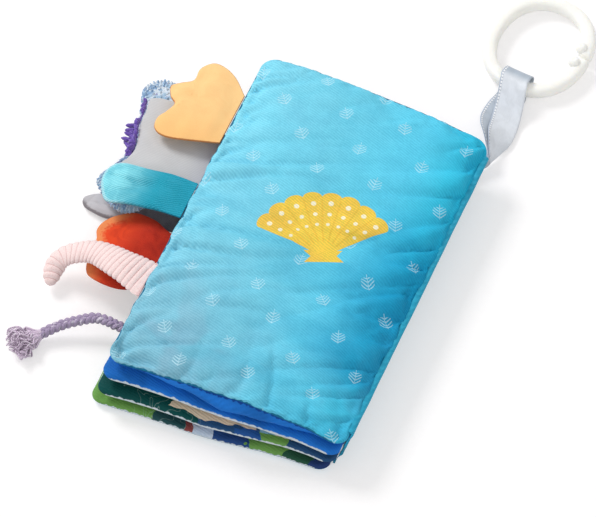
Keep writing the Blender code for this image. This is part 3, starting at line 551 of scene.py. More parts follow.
def sprig_mask(x, y):
    """Pale fern sprigs in a half-drop repeat, each turned a little by chance."""
    tree = x.tree
    column = ((x + SPRIG_START) / SPRIG_COLUMN).math("ROUND")
    level = y - (x + SPRIG_START) * SPRIG_SLANT - column.math("PINGPONG", 1.0) * (SPRIG_ROW / 2) - 0.0006
    row = (level / SPRIG_ROW).math("ROUND")
    cell = put(tree, "ShaderNodeCombineXYZ", None, {0: column, 1: row, 2: 3.0})
    chance, shift = put(tree, "ShaderNodeTexWhiteNoise", None, {"Vector": cell}, ("Value", "Color"))
    shift_x, shift_y, _ = xyz(shift)
    across = x + SPRIG_START - column * SPRIG_COLUMN + (shift_x - 0.5) * SPRIG_SCATTER
    along = level - row * SPRIG_ROW + (shift_y - 0.5) * SPRIG_SCATTER
    across, along, _ = xyz(spun(put(tree, "ShaderNodeCombineXYZ", None, {0: across, 1: along}), chance * 0.7 - 0.70))
    # From here on in millimetres
    side, up = abs(across) * 1000.0, along * 1000.0
    foot = up - side.math("POWER", 1.3) * 0.50
    frond = ((foot + 3.6) / 1.6).math("FRACT") < 0.42
    # The lowest fronds reach out furthest, and each has a tip of its own
    share = (foot + 2.4) / 4.4
    reach = (1.0 - share * share).math("MAXIMUM", 0.0).math("SQRT") * 3.3
    stem = (side < 0.18) * (abs(up) < 3.9)
    return (frond * (side < reach) * (foot > -3.7)).math("MAXIMUM", stem)


def shell_masks(place):
    """A fan shell: its body, the lines between its ribs, and three rows of dots on the ribs."""
    hinge = spun(vector_of("SUBTRACT", place, (0.0130, -0.0045, 0.0)), -0.42)
    x, y, _ = xyz(hinge)
    radius = vector_of("LENGTH", hinge, out=1)
    angle = x.math("ARCTAN2", y)
    rib_turn = math.radians(15.5)
    off = abs((angle / rib_turn).math("FRACT") - 0.5)
    # The rim bows out at each rib, as one round scallop to each
    scallop = (0.27 - off * off).math("MAXIMUM", 0.0).math("SQRT")
    fan = (radius < scallop * 0.0058 + 0.0342) * (abs(angle) < math.radians(62.0))
    foot = (abs(x) < abs(y) * 0.9 + 0.0062) * (abs(y) < 0.0036)
    line = ((0.5 - off) * radius < 0.0016) * (radius > 0.0085) * (radius < 0.0335)
    across = off * rib_turn * radius
    dots = []
    for row, size in ((0.0312, 0.0013), (0.0250, 0.0011), (0.0190, 0.0009)):
        along = radius - row
        dots.append((across * across + along * along).math("SQRT") < size)
    return fan.math("MAXIMUM", foot), line, dots[0].math("MAXIMUM", dots[1]).math("MAXIMUM", dots[2])


def cover_print_and_shade(place, x, y):
    """Blue that pales to the far fore corner and greys to the near end, with sprigs and a yellow shell. The paling
    towards the fore edge is painted light, and the deepening towards the spine is painted shade.
    """
    base = tuple(colours().cover)
    across = leaf_share(x)
    # Painted light and shade across the cover: paler towards the fore edge, and much deeper towards the spine edge
    # where the dome rolls down.
    stops = ((0.0, (2.2, 1.36, 1.22)), (0.45, (1.44, 1.20, 1.13)), (0.74, (1.10, 1.28, 1.26)),
             (0.90, (0.45, 1.16, 1.18)), (1.0, (0.12, 0.86, 0.96)))
    tint = steps_of(across, [(stop, times(base, shares)) for stop, shares in stops])
    fore = across.ramp(0.10, 0.70, 1.0, 0.20)
    tint = mixed(y.ramp(0.03, -0.095) * fore * 0.62, tint, times(base, (2.3, 0.86, 0.78)))
    # Painted shade: deeper towards the spine between the middle and the near end.
    low = y.ramp(0.06, 0.0) * y.ramp(-0.080, -0.052) * across.ramp(0.60, 0.92)
    tint = mixed(low, tint, times(tint, (0.30, 0.66, 0.78)))
    # Painted shade: darker long bands that run in from the fore edge, where the valleys of crumpled cloth would lie
    # in shade
    bands = noise_of(vector_of("MULTIPLY", place, (10.0, 42.0, 1.0)), 1.0, 2.0, 0.5, 0.3)
    tint = mixed(bands.ramp(0.46, 0.62) * y.ramp(0.06, 0.0, 0.0, 0.55), tint, times(tint, (0.60, 0.82, 0.87)))
    cloud = noise_of(place, 38.0, 3.0, 0.6, 0.5)
    blush = y.ramp(-0.02, -0.085, 0.06, 0.30) * cloud.ramp(0.42, 0.62) * fore
    tint = mixed(blush, tint, (0.30, 0.38, 0.50))
    body, line, dot = shell_masks(place)
    tint = mixed(sprig_mask(x, y) * (1.0 - body) * 0.52, tint, (0.60, 0.90, 1.0))
    yellow = tuple(colours().motif)
    amber = mixed(cloud.ramp(0.35, 0.65), yellow, times(yellow, (0.95, 0.86, 1.0)))
    shell = mixed(line * 0.55, amber, (0.86, 0.53, 0.06))
    return mixed(body, tint, mixed(dot, shell, (1.0, 0.93, 0.66)))


def patched(*stops, inner=None):
    """A print of plain patches along a page, with wavy edges and thin pale curved lines.

    inner is (distance, stops) for other patches that start that far in from the sewn edge.
    """

    def colour(place, x, y):
        wander = noise_of(place, 60.0, 2.0, 0.5, 0.8)
        # Away from the near end the patches spread into hills
        hills = (noise_of(place, 17.0, 1.0, 0.5, 0.3) - 0.5) * y.ramp(-0.092, -0.050, 0.0, 1.5)
        share = leaf_share(x) + (wander - 0.5) * 0.20 + hills
        tint = steps_of(share, stops, "CONSTANT")
        if inner is not None:
            inset = leaf_inset(x, y) + (wander - 0.5) * 0.006 - share.ramp(0.3, 0.9) * 0.0012
            tint = mixed(inset > inner[0], tint, steps_of(share, inner[1], "CONSTANT"))
        line = abs((wander * 5.0 + y * 60.0).math("FRACT") - 0.5).ramp(0.016, 0.034, 0.30, 0.0)
        return mixed(line * share.ramp(0.55, 0.40), tint, (0.50, 0.66, 0.60))

    return colour


def spine_colour_and_shade(place, x, y):
    """Clouded blue of the spine strip, with painted shade that makes it a deeper blue and pales towards its top."""
    base = tuple(colours().cover)
    cloud = noise_of(place, 120.0)
    tint = mixed(cloud.ramp(0.35, 0.7), times(base, (0.16, 0.44, 0.50)), times(base, (0.24, 0.58, 0.64)))
    return mixed(y.ramp(0.010, 0.019, 0.0, 0.8), tint, times(base, (0.36, 0.86, 0.92)))


def page_blue_print(place, x, y):
    """Clouded blue with rings of bubbles, away from the page's edge."""
    base = tuple(colours().page_blue)
    tint = mixed(noise_of(place, 45.0, 2.0, 0.5, 0.6).ramp(0.35, 0.7), base, times(base, 0.72))
    far, chance = cells_of(place, 58.0, 0.75)
    bubble = abs(far - (chance * 0.22 + 0.06)).ramp(0.035, 0.015)
    return mixed(bubble * leaf_inset(x, y).ramp(0.012, 0.014, 0.0, 0.55), tint, (0.36, 0.66, 0.92))


def velour(name, tint, deep, pale, fineness=1000.0, sheen=0.5, bump=0.00025, blotch=0.35, fade=None, rim=None,
           ribs=None):
    """Short cut pile that lightens and darkens where it is brushed.

    fade is (axis, from, to, colour): the shade turns to that colour along x or y. rim is (colour, width), the shade
    along the outline, which (axis, from, to) after them fades in along x or y. ribs is the pitch of fine ribs. The
    tails use fade and rim for painted light and shade.
    """
    made = new_material(name, 0.88, sheen, pale, 0.1)
    place = mapped(made)
    ends = xyz(place)
    height, _, brushed, fibre = pile(place, fineness)
    shade = tint
    if fade is not None:
        axis, low, high, colour = fade
        shade = mixed(ends[axis].ramp(low, high), tint, colour)
    shade = mixed(brushed.ramp(0.64, 0.36, 0.0, blotch), shade, deep)
    shade = mixed(fibre.ramp(0.35, 0.75, 0.0, 0.35), shade, pale)
    if rim is not None:
        colour, width, *limits = rim
        inset = xyz(mapped(made, "edge"))[0] + (noise_of(place, 700.0) - 0.5) * width
        edge = inset.ramp(width, width * 0.3, 0.0, 0.85)
        if limits:
            axis, low, high = limits
            edge = edge * ends[axis].ramp(low, high)
        shade = mixed(edge, shade, colour)
    if ribs is not None:
        rib = weave(place, (ribs, ribs, 1.0), -0.7)[0]
        shade = mixed(rib.ramp(0.60, 0.25, 0.0, 0.9), shade, times(shade, (0.40, 0.74, 0.80)))
        height = height + rib * 0.8
    return finish(made, shade, height, bump, 0.7)


def speckled_plush(name, tint):
    """Shaggy plush with white, blue and violet flecks."""
    made = new_material(name, 0.95, 0.6, specular=0.1)
    place = mapped(made)
    height, _, _, fibre = pile(place, 700.0)
    far, chance = cells_of(place, 620.0)
    stops = ((0.0, (0.86, 0.92, 0.98)), (0.34, tint), (0.62, (0.20, 0.36, 0.62)), (0.80, (0.95, 0.97, 1.0)),
             (0.90, (0.30, 0.24, 0.50)))
    shade = mixed(fibre.ramp(0.35, 0.7, 0.15, 0.75), steps_of(chance, stops, "CONSTANT"), tint)
    return finish(made, shade, height - far * 0.6, 0.0009, 0.9)


def smooth_knit(name, tint):
    """Fine brushed knit with tiny loops."""
    made = new_material(name, 0.72, 0.35, specular=0.2)
    place = mapped(made)
    loops, loop_shade = weave(place, (0.0006, 0.0009, 1.0), 0.0)
    height, _, _, fibre = pile(place, 1300.0)
    shade = mixed(loop_shade.ramp(0.3, 0.7), times(tint, 0.86), tint)
    shade = mixed(fibre.ramp(0.3, 0.8, 0.0, 0.25), shade, (0.75, 0.75, 0.76))
    return finish(made, shade, height * 0.6 + loops, 0.00010, 0.5)


def yarn(name, tint, flecks, fineness=1200.0):
    """Spun yarn: fine twisted fibres along the strand, with pale flecks."""
    made = new_material(name, 0.9, 0.5, (0.95, 0.9, 1.0), 0.15)
    place = mapped(made)
    height, clump, _, _ = pile(place, fineness)
    x, y, _ = xyz(place)
    strand = ((x + y * 1.2) * 1500.0 * (2 * math.pi)).math("SINE") * 0.5 + 0.5
    shade = mixed(strand, times(tint, 0.68), tint)
    shade = mixed(clump.ramp(0.56, 0.66, 0.0, 0.55), shade, flecks)
    return finish(made, shade, strand * 0.7 + height, 0.00022, 0.8)


def corduroy(name, tint):
    """The pale ribs' short pile, with painted shade in the grooves; the ribs themselves are in the shape."""
    made = new_material(name, 0.9, 0.6, (1.0, 0.94, 0.94), 0.12)
    place = mapped(made)
    height, _, _, fibre = pile(place, 1100.0)
    groove = abs((xyz(place)[0] / sizes().rib_pitch).math("FRACT") - 0.5)
    shade = mixed(groove.ramp(0.40, 0.50, 0.0, 0.75), tint, times(tint, (0.66, 0.42, 0.42)))
    shade = mixed(fibre.ramp(0.35, 0.75, 0.0, 0.4), shade, (1.0, 0.95, 0.94))
    worn = noise_of(place, 1500.0)
    shade = mixed(worn.ramp(0.50, 0.66, 0.0, 0.55), shade, times(tint, (0.86, 0.66, 0.66)))
    return finish(made, shade, height, 0.00040, 0.8)


def satin_ribbon(name, tint):
    """Satin with fine lengthwise ribs; x of the map runs across the ribbon from its middle, y along it."""
    made = new_material(name, 0.34, 0.1, specular=0.5)
    place = mapped(made)
    x, y, _ = xyz(place)
    rib = (x * (2 * math.pi / 0.00042)).math("COSINE")
    fine = noise_of(vector_of("MULTIPLY", place, (4.0, 0.5, 1.0)), 900.0)
    soft = noise_of(place, 160.0, 2.0, 0.5, 0.5)
    side, left = abs(x), x < 0.0
    thread = stitch(side - 0.0065, y, 0.0017, 0.00050)[0]
    shade = mixed(soft.ramp(0.35, 0.7), times(tint, 0.90), tint)
    shade = mixed(fine.ramp(0.4, 0.8, 0.0, 0.3), shade, (0.92, 0.94, 0.97))
    # Painted shade: the fold round the bar and the strand that comes from under it are darkened
    fold = y.ramp(0.056, 0.060) * y.ramp(0.072, 0.066)
    beneath = y.ramp(0.046, 0.052, 0.62, 0.0)
    shade = mixed(fold * 0.85 + beneath, shade, times(shade, (0.46, 0.53, 0.60)))
    shade = mixed(side.ramp(0.0058, 0.0063, 0.0, 0.75) * left, shade, times(tint, (0.42, 0.48, 0.56)))
    shade = mixed(thread * left, shade, (0.96, 0.97, 0.99))
    return finish(made, shade, rib * 0.12 + thread, 0.00016, 0.6, soft.ramp(0.3, 0.7, 0.28, 0.44))


def milky_plastic(name, tint):
    """Milky moulded plastic: slightly see-into, clouded, and faintly streaked where it flowed, with a faint painted
    glow in its own colour.
    """
    made = new_material(name, 0.36, specular=0.5)
    # The emission is painted light: a faint glow in the ring's own colour.
    for label, value in (("Emission Color", (*tint, 1.0)), ("Emission Strength", 0.10), ("Subsurface Weight", 0.45),
                         ("Subsurface Radius", (1.0, 0.9, 0.75)), ("Subsurface Scale", 0.0035)):
        made.node_tree.nodes["Principled BSDF"].inputs[label].default_value = value
    place = solid_place(made.node_tree)
    cloud, worn = handling(place, 90.0)
    flow = noise_of(vector_of("MULTIPLY", place, (1.0, 1.0, 3.0)), 260.0, 3.0, 0.6, 1.0)
    shade = mixed(cloud.ramp(0.3, 0.7), times(tint, 0.93), tint)
    return finish(made, shade, flow * 0.4 + worn, 0.00006, 0.4, flow.ramp(0.3, 0.7, 0.30, 0.46))


# Leaves


def leaf_middle(index, x):
    """Height of a leaf's middle surface at x of its own frame."""
    half = sizes().half_width
    return index * LEAF_PITCH + HALF_LEAF + index * FORE_LIFT * (half - x) / (2 * half)


def seam_height(index):
    """Height of a leaf's seam at its fore edge."""
    return leaf_middle(index, -sizes().half_width)


def cover_dome(x, y):
    """Rise of the top cover's seam and face between the fore edge and the spine, narrower at the near end."""
    half_x, half_y = sizes().half_width, sizes().half_length
    share = min(1.0, max(0.0, (x + half_x) / (2 * half_x)))
    broad = 1.0 - abs(2.0 * share - 1.0) ** 3
    narrow = math.sin(math.pi * share**1.15) ** 2
    near = ease(1.0 - (y + half_y) / DOME_END)
    return COVER_DOME * (broad + (narrow - broad) * near)


def near_bow(x, y, index):
    """How far the padding pulls a leaf's near end in, between its corners and towards the spine."""
    half_x, half_y = sizes().half_width, sizes().half_length
    fade = ease(1.0 - (y + half_y) / NEAR_BOW_REACH)
    share = x / (2 * half_x) + 0.5
    bow = NEAR_BOW * NEAR_BOW_SHARES[index] * (1.0 - abs(x / half_x) ** 3)
    return (bow + NEAR_DRAW * NEAR_DRAW_SHARES[index] * ease((share - 0.4) / 0.6)) * fade


def rolled(inset):
    """Half thickness of a leaf at a distance in from its sewn edge, down to nothing at the very edge."""
    t = min(1.0, inset / EDGE_ROLL)
    full = SEAM_HALF + (HALF_LEAF - SEAM_HALF) * math.sqrt(1.0 - (1.0 - t) ** 2)
    return full * math.sqrt(min(1.0, inset / SEAM_EDGE))


def places_across(half, cell):
    """Places from -half to half that crowd together at both ends."""
    deep = half - EDGE_PLACES[-1]
    count = max(4, round(2 * deep / cell))
    middle = [deep * (2 * k / count - 1) for k in range(1, count)]
    low = [-half + p for p in EDGE_PLACES]
    return low + middle + [-p for p in reversed(low)]


def rounded_place(x, y, half_x, half_y, radius):
    """The point and its inset, with a rectangle's corner squeezed onto a round one."""
    px = (abs(x) - (half_x - radius)) / radius
    py = (abs(y) - (half_y - radius)) / radius
    if px > 0.0 and py > 0.0:
        length = math.hypot(px, py)
        factor = max(px, py) / length
        px, py = px * factor, py * factor
        x = math.copysign(half_x - radius + px * radius, x)
        y = math.copysign(half_y - radius + py * radius, y)
    inset = radius - math.hypot(max(px, 0.0), max(py, 0.0)) * radius - min(max(px, py), 0.0) * radius
    return x, y, max(0.0, inset)


def crease(along, inward, pitch, seed):
    """A valley-and-ridge wave along an edge: sharp folds between round swellings, from about -1 to 1."""
    value = noise.noise((along / pitch + 0.35 * noise.noise((inward / 0.006, along / 0.02, seed)),
                         inward / 0.030, seed))
    return min(1.0, abs(value) * 3.2) * 2.0 - 1.0


def puckers(x, y, index, side):
    """Height of the puckers that run in from the fore edge and the two ends."""
    half_x, half_y = sizes().half_width, sizes().half_length
    seed = 3.7 * index + (11.0 if side < 0 else 0.0)
    total = 0.0
    for inward, along, pitch, reach, share, number in (
        (half_x + x, y, 0.0120, 0.0110, 1.1, 0.0),
        (half_y + y, x, 0.0110, 0.0065, 0.75, 20.0),
        (half_y - y, x, 0.0150, 0.0060, 0.04, 40.0),
        (half_x - x, y, 0.0160, 0.0060, 0.40, 60.0),
    ):
        fade = ease(inward / 0.0035) * math.exp(-inward / reach)
        total += share * fade * crease(along, inward, pitch, seed + number)
    if index == 3 and side > 0:
        total += cover_folds(x, y)
    return total * sizes().pucker


def cover_folds(x, y):
    """Broad soft folds that run far in from the cover's fore edge, its spine edge and its near end."""
    half_x, half_y = sizes().half_width, sizes().half_length
    total = 0.0
    for inward, along, pitch, reach, share, number in (
        (half_x + x, y - 0.35 * (half_x + x), 0.0135, 0.044, 8.5, 80.0),
        (half_x - x, y + 0.60 * (half_x - x), 0.0160, 0.028, 6.5, 100.0),
        (half_y + y, x + 0.30 * (half_y + y), 0.0200, 0.024, 3.6, 120.0),
    ):
        wave = noise.noise((along / pitch, inward / 0.06, number))
        # Narrow valleys between broad swells
        valley = 1.0 - min(1.0, abs(wave) * 3.0)
        total += share * ease(inward / 0.005) * math.exp(-inward / reach) * (0.5 * wave - 0.45 * valley * valley)
    return total


def seam_drift(x, y, index):
    """Sideways and upward wander of a sewn edge."""
    calm = 1.0 - 0.97 * ease((y / sizes().half_length - 0.2) / 0.5)
    lift = noise.noise((x / 0.016, y / 0.016, 5.0 + index)) * 0.0006 * calm
    slip = noise.noise((x / 0.012, y / 0.012, 25.0 + index)) * 0.0005 * calm
    return lift, slip


def side_swell(x, y, inset, index):
    """How far the top cover's back cloth bulges out below the raised seam of its two ends, as a move along y."""
    if index < 3:
        return 0.0
    rise = cover_dome(x, y) / COVER_DOME
    wall = math.sin(math.pi * min(1.0, inset / (1.8 * DOME_SIDE)))
    fold = 1.0 + 0.30 * noise.noise((x / 0.013, inset / 0.004, 31.0))
    return -SIDE_BULGE * rise * wall * fold if y < 0.008 - sizes().half_length else 0.0


def leaf_height(x, y, inset, index, side):
    """Height of one face of a leaf above its middle, side being 1 for the upper face."""
    half_x, half_y = sizes().half_width, sizes().half_length
    height = rolled(inset)
    fold = puckers(x, y, index, side)
    if index == 3 and side > 0:
        height += COVER_CROWN * math.cos(math.pi * x / (2 * half_x)) * math.cos(math.pi * y / (2 * half_y))
        soft = noise.noise((x / 0.030, y / 0.034, 2.0)) * 0.0007 + noise.noise((x / 0.013, y / 0.017, 8.0)) * 0.00025
        return height + (fold + soft) * ease(inset / 0.004)
    room = max(0.0, HALF_LEAF - rolled(inset)) * 0.5
    fold = min(fold, room)
    soft = -abs(noise.noise((x / 0.022, y / 0.026, 12.0 + index))) * 0.0004
    return max(0.0, height + (fold + soft) * ease(inset / 0.003))


def swell_cover(obj, pinned):
    """Lets the cover's upper cloth swell against its seams as cloth, and keeps the result in the mesh."""
    start = [v.co.copy() for v in obj.data.vertices]
    held = obj.vertex_groups.new(name="sewn")
    held.add(pinned, 1.0, "REPLACE")
    cloth = obj.modifiers.new("swell", "CLOTH")
    for setting, value in dict(
        quality=6, mass=0.15, tension_stiffness=12.0, compression_stiffness=12.0, shear_stiffness=5.0,
        bending_stiffness=0.25, use_pressure=True, uniform_pressure_force=3.0, shrink_min=-0.035,
        vertex_group_mass="sewn", pin_stiffness=1.0,
    ).items():
        setattr(cloth.settings, setting, value)
    cloth.settings.effector_weights.gravity = 0.0
    cloth.point_cache.frame_start = 1
    cloth.point_cache.frame_end = SWELL_FRAMES
    scene = bpy.context.scene
    for number in range(1, SWELL_FRAMES + 1):
        scene.frame_set(number)
    baked = obj.evaluated_get(bpy.context.evaluated_depsgraph_get()).data
    moved = [v.co.copy() for v in baked.vertices]
    obj.modifiers.remove(cloth)
    obj.vertex_groups.remove(held)
    scene.frame_set(1)
    for vertex, before, after in zip(obj.data.vertices, start, moved):
        shift = [max(low, min(high, v)) for v, (low, high) in zip(after - before, SWELL_LIMITS)]
        vertex.co = before + Vector(shift)


def make_leaf(index, material_upper, material_lower, cell):
    """One leaf as a closed, padded pair of cloths sewn edge to edge."""
    half_x, half_y = sizes().half_width, sizes().half_length
    columns, rows = places_across(half_x, cell), places_across(half_y, cell)
    wide, long = len(columns), len(rows)
    points = [rounded_place(x, y, half_x, half_y, LEAF_CORNER) for y in rows for x in columns]
    slide_x, slide_y = SLIDES[index]
    count = len(points)
    rim = {k for k in range(count) if k % wide in (0, wide - 1) or k // wide in (0, long - 1)}
    vertices, flat, lower = [], [], {}
    for k, (x, y, inset) in enumerate(points):
        lift, slip = seam_drift(x, y, index)
        near = math.exp(-inset / SEAM_REACH)
        share_x, share_y = x / half_x, y / half_y
        out = Vector((share_x, 0.0, 0.0) if abs(share_x) > abs(share_y) else (0.0, share_y, 0.0))
        place = Vector((x, y, leaf_middle(index, x))) + out * slip * near
        # The back cover's seam can't sink into the table
        place.z += (lift if index else max(0.0, lift)) * near
        place += Vector((slide_x, slide_y + near_bow(x, y, index), 0.0))
        dome = cover_dome(x, y) if index == 3 else 0.0
        vertices.append(place + UP * (dome + leaf_height(x, y, inset, index, 1)))
        flat.append((x, y))
        if k not in rim:
            down = dome * (1.0 - ease(inset / (1.6 * DOME_SIDE))) - leaf_height(x, y, inset, index, -1)
            lower[k] = place + Vector((0.0, side_swell(x, y, inset, index), down))
    corners = [row * wide + column for row in range(long - 1) for column in range(wide - 1)]
    faces = [[a, a + 1, a + wide + 1, a + wide] for a in corners]
    upper_count = len(faces)
    number = {}
    for k, place in lower.items():
        place.z = max(place.z, 0.00005)
        number[k] = len(vertices)
        vertices.append(place)
        flat.append(points[k][:2])
    faces += [[number.get(v, v) for v in reversed(face)] for face in faces]
    obj = piece(LEAVES[index], vertices, faces, material_upper, flat)
    obj.data.materials.append(material_lower)
    for face in obj.data.polygons:
        face.material_index = 0 if face.index < upper_count else 1
    if index == 3:
        swell_cover(obj, sorted(rim | set(number.values())))
    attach(obj, LEAF_BODIES[index])
    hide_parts(*[f"{LEAVES[index]}_{part}"
                       for part in ("upper_cloth", "lower_cloth", "crinkle_film", "wadding")])
    return obj


# Spine


def make_spine(material):
    """Three lengths of the cloth spine strip, each sewn to two leaves and bending between them."""
    half = sizes().half_length - LEAF_CORNER
    first = -half + 0.0015
    # The strip's thickness, and the room between its lengths and below the cover's padded edge
    thick = 0.0008
    clear, top_clear = 0.00006, 0.0012
    made = []
    levels = [0.0, LEAF_PITCH + HALF_LEAF, 2 * LEAF_PITCH + HALF_LEAF, 3 * LEAF_PITCH + 2 * HALF_LEAF]
    for number in range(3):
        low, high = levels[number] + clear, levels[number + 1] - (top_clear if number == 2 else clear)
        section = []
        for step in range(13):
            z = low + (high - low) * step / 12
            leaf = min(3.0, max(0.0, (z - HALF_LEAF) / LEAF_PITCH))
            base = min(2, int(leaf))
            share = ease(leaf - base)
            x = SLIDES[base][0] + (SLIDES[base + 1][0] - SLIDES[base][0]) * share
            y = SLIDES[base][1] + (SLIDES[base + 1][1] - SLIDES[base][1]) * share
            swell = 0.0005 * abs(math.sin(math.pi * z / LEAF_PITCH))
            # The strip's upper end lies in over the cover's padded edge
            hug = max(0.0, z - 3 * LEAF_PITCH - HALF_LEAF) / HALF_LEAF
            swell -= 0.0022 * hug * hug
            tuck = 0.0012 * min(1.0, hug / 0.3)
            near, next_near = (near_bow(sizes().half_width, -sizes().half_length, k) for k in (base, base + 1))
            near += (next_near - near) * share
            section.append((sizes().half_width + TAIL_SEAT + x, y, z, swell, tuck, near))
        runs = 72
        vertices, flat = [], []
        for run in range(runs + 1):
            along = first + (half - first) * run / runs
            ring = []
            for x, y, z, swell, _, near in section:
                wave = noise.noise((along / 0.012, z / 0.006, 4.0)) * 0.0002
                ring.append((x + thick + swell + wave, along + y + near * (1.0 - run / runs), z))
            for x, y, z, swell, tuck, near in reversed(section):
                ring.append((x + 0.00005 + min(0.0, swell) - tuck, along + y + near * (1.0 - run / runs), z))
            vertices.extend(Vector(p) for p in ring)
            flat.extend((along, p[2]) for p in ring)
        obj = piece(f"spine_strip_{number + 1}", vertices, ring_faces(runs + 1, len(section) * 2), material, flat)
        sharpen(obj, 50.0)
        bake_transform(obj)
        made.append(obj)
    nodes = [f"spine_{name}" for name in LEAVES]
    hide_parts(nodes[0], nodes[1])
    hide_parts(nodes[1], nodes[2])
    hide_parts(nodes[2], nodes[3])
    return made


# Tails


def tail_root(index, place_share):
    """Where something is sewn into a leaf's fore edge, at a share of the leaf's length from its middle."""
    slide_x, slide_y = SLIDES[index]
    return Vector((-sizes().half_width - TAIL_SEAT + slide_x, place_share * 2 * sizes().half_length + slide_y, 0.0))


# The flat tails: index is the leaf, place the share of its length, outline the shares of the reach (out from the
# seam) and of the width (along it), and heights the shares of the seam's height at shares of the reach
TAILS = {
    "tail_orange": dict(
        index=3, reach=0.0372, width=0.049, thickness=0.0036, place=0.288,
        outline=(
            (0.0, 0.31), (0.21, 0.475), (0.405, 0.56), (0.60, 0.575), (0.735, 0.465), (0.74, 0.31), (0.88, 0.235),
            (0.995, 0.16), (0.93, 0.04), (0.83, -0.035), (0.875, -0.15), (0.95, -0.26), (0.925, -0.38),
            (0.78, -0.445), (0.52, -0.43), (0.0, -0.325),
        ),
        heights=((0.0, 1.0), (0.5, 0.985), (1.0, 0.93)),
    ),
    "tail_turquoise": dict(
        index=3, reach=0.0482, width=0.0235, thickness=0.0046, place=0.0147,
        outline=(
            (0.0, 0.46), (0.25, 0.485), (0.55, 0.475), (0.84, 0.485), (0.955, 0.33), (0.985, 0.03), (0.92, -0.30),
            (0.81, -0.54), (0.60, -0.49), (0.36, -0.475), (0.18, -0.46), (0.0, -0.47),
        ),
        heights=((0.0, 1.0), (0.3, 0.975), (0.7, 0.85), (1.0, 0.75)),
    ),
    "tail_grey": dict(
        index=2, reach=0.0455, width=0.044, thickness=0.0026, place=0.2215,
        outline=(
            (0.0, 0.30), (0.35, 0.42), (0.70, 0.50), (0.955, 0.46), (0.945, 0.27), (0.93, 0.07), (0.885, -0.09),
            (0.845, -0.27), (0.875, -0.42), (0.92, -0.57), (0.60, -0.61), (0.30, -0.59), (0.0, -0.50),
        ),
        heights=((0.0, 1.0), (0.5, 1.02), (1.0, 0.93)),
    ),
    "tail_red": dict(
        index=2, reach=0.041, width=0.041, thickness=0.0056, place=-0.0975,
        outline=(
            (0.0, 0.26), (0.12, 0.31), (0.30, 0.405), (0.58, 0.465), (0.79, 0.39), (0.92, 0.27), (0.955, 0.13),
            (0.90, 0.0), (0.875, -0.18), (0.865, -0.34), (0.825, -0.465), (0.745, -0.545), (0.52, -0.625),
            (0.29, -0.655), (0.12, -0.60), (0.0, -0.50),
        ),
        heights=((0.0, 1.0), (0.3, 0.86), (0.7, 0.60), (1.0, 0.42)),
    ),
    "tail_plush": dict(
        index=1, reach=0.0515, width=0.076, thickness=0.0038, place=0.231,
        outline=(
            (0.0, 0.16), (0.35, 0.27), (0.60, 0.46), (0.76, 0.53), (0.90, 0.51), (0.985, 0.435), (0.95, 0.33),
            (0.86, 0.15), (0.80, 0.0), (0.84, -0.17), (0.955, -0.33), (0.90, -0.42), (0.70, -0.53), (0.54, -0.545),
            (0.40, -0.47), (0.25, -0.27), (0.0, -0.18),
        ),
        heights=((0.0, 1.0), (0.4, 1.16), (0.7, 1.08), (1.0, 0.85)),
    ),
    "tail_velvet": dict(
        index=1, reach=0.0545, width=0.024, thickness=0.0044, place=0.067,
        outline=(
            (0.0, 0.42), (0.30, 0.45), (0.60, 0.30), (0.85, 0.10), (0.96, -0.05), (0.99, -0.18),
            (0.945, -0.33), (0.83, -0.40), (0.70, -0.43), (0.45, -0.40), (0.20, -0.40), (0.0, -0.42),
        ),
        heights=((0.0, 1.0), (0.25, 0.78), (0.45, 0.44), (0.75, 0.24), (1.0, 0.22)),
    ),
}

# Sizes of the rings that lead from a tail's outline in to its middle
RING_SHARES = (1.0, 0.995, 0.98, 0.955, 0.92, 0.87, 0.81, 0.74, 0.66, 0.58, 0.49, 0.40, 0.31, 0.22, 0.12)


def tail_outline(facts):
    """The middle of a tail's sewn edge, and its outline as seen from above."""
    root = tail_root(facts["index"], facts["place"])
    reach, width = facts["reach"], facts["width"]
    points = [root + Vector((-out * reach, along * width, 0.0)) for out, along in facts["outline"]]
    return root, smooth_route(points, 8)


def tail_level(facts, out):
    """Height of the middle of a tail, out from its sewn edge."""
    return seam_height(facts["index"]) * between(out / facts["reach"], facts["heights"])


def tail_shape(name, relief):
    """Vertices, faces, flat map and edge map of a padded tail; relief adds height from (x, y, side)."""
    facts = TAILS[name]
    root, loop = tail_outline(facts)
    for point in loop:
        point.x = min(point.x, root.x)
    loop += [loop[-1].lerp(loop[0], k / 8) for k in range(1, 8)]
    centre = sum(loop, Vector()) / len(loop)
    count = len(loop)
    rim, half_thick = 0.0005, facts["thickness"] / 2
    vertices, flat, edge = [], [], []
    for side in (1, -1):
        for share in RING_SHARES + (0.0,):
            ring = loop if share else loop[:1]
            for point, way in zip(ring, ways_along(loop)):
                p = centre + (point - centre) * share
                seat = ease((root.x - p.x) / 0.010)
                swell = math.sqrt(max(0.0, 1.0 - share * share)) * seat
                closing = 0.15 if share == 1.0 else 1.0
                half = (rim + (half_thick - rim) * swell) * closing
                lift = relief(p.x, p.y, side) * seat * (1.0 - share**6)
                vertices.append(Vector((p.x, p.y, tail_level(facts, root.x - p.x) + side * (half + lift))))
                flat.append((p.x, p.y + (0.5 if side < 0 else 0.0)))
                edge.append(((1.0 - share) * (point - centre).length, way))
    sheet = count * len(RING_SHARES) + 1
    faces = []
    for ring in range(len(RING_SHARES)):
        for k in range(count):
            m = (k + 1) % count
            a, b = ring * count + k, ring * count + m
            last = ring == len(RING_SHARES) - 1
            face = [a, b, sheet - 1] if last else [a, b, b + count, a + count]
            faces += [face, [v + sheet for v in reversed(face)]]
    faces += [[k + sheet, (k + 1) % count + sheet, (k + 1) % count, k] for k in range(count)]
    return vertices, faces, flat, edge


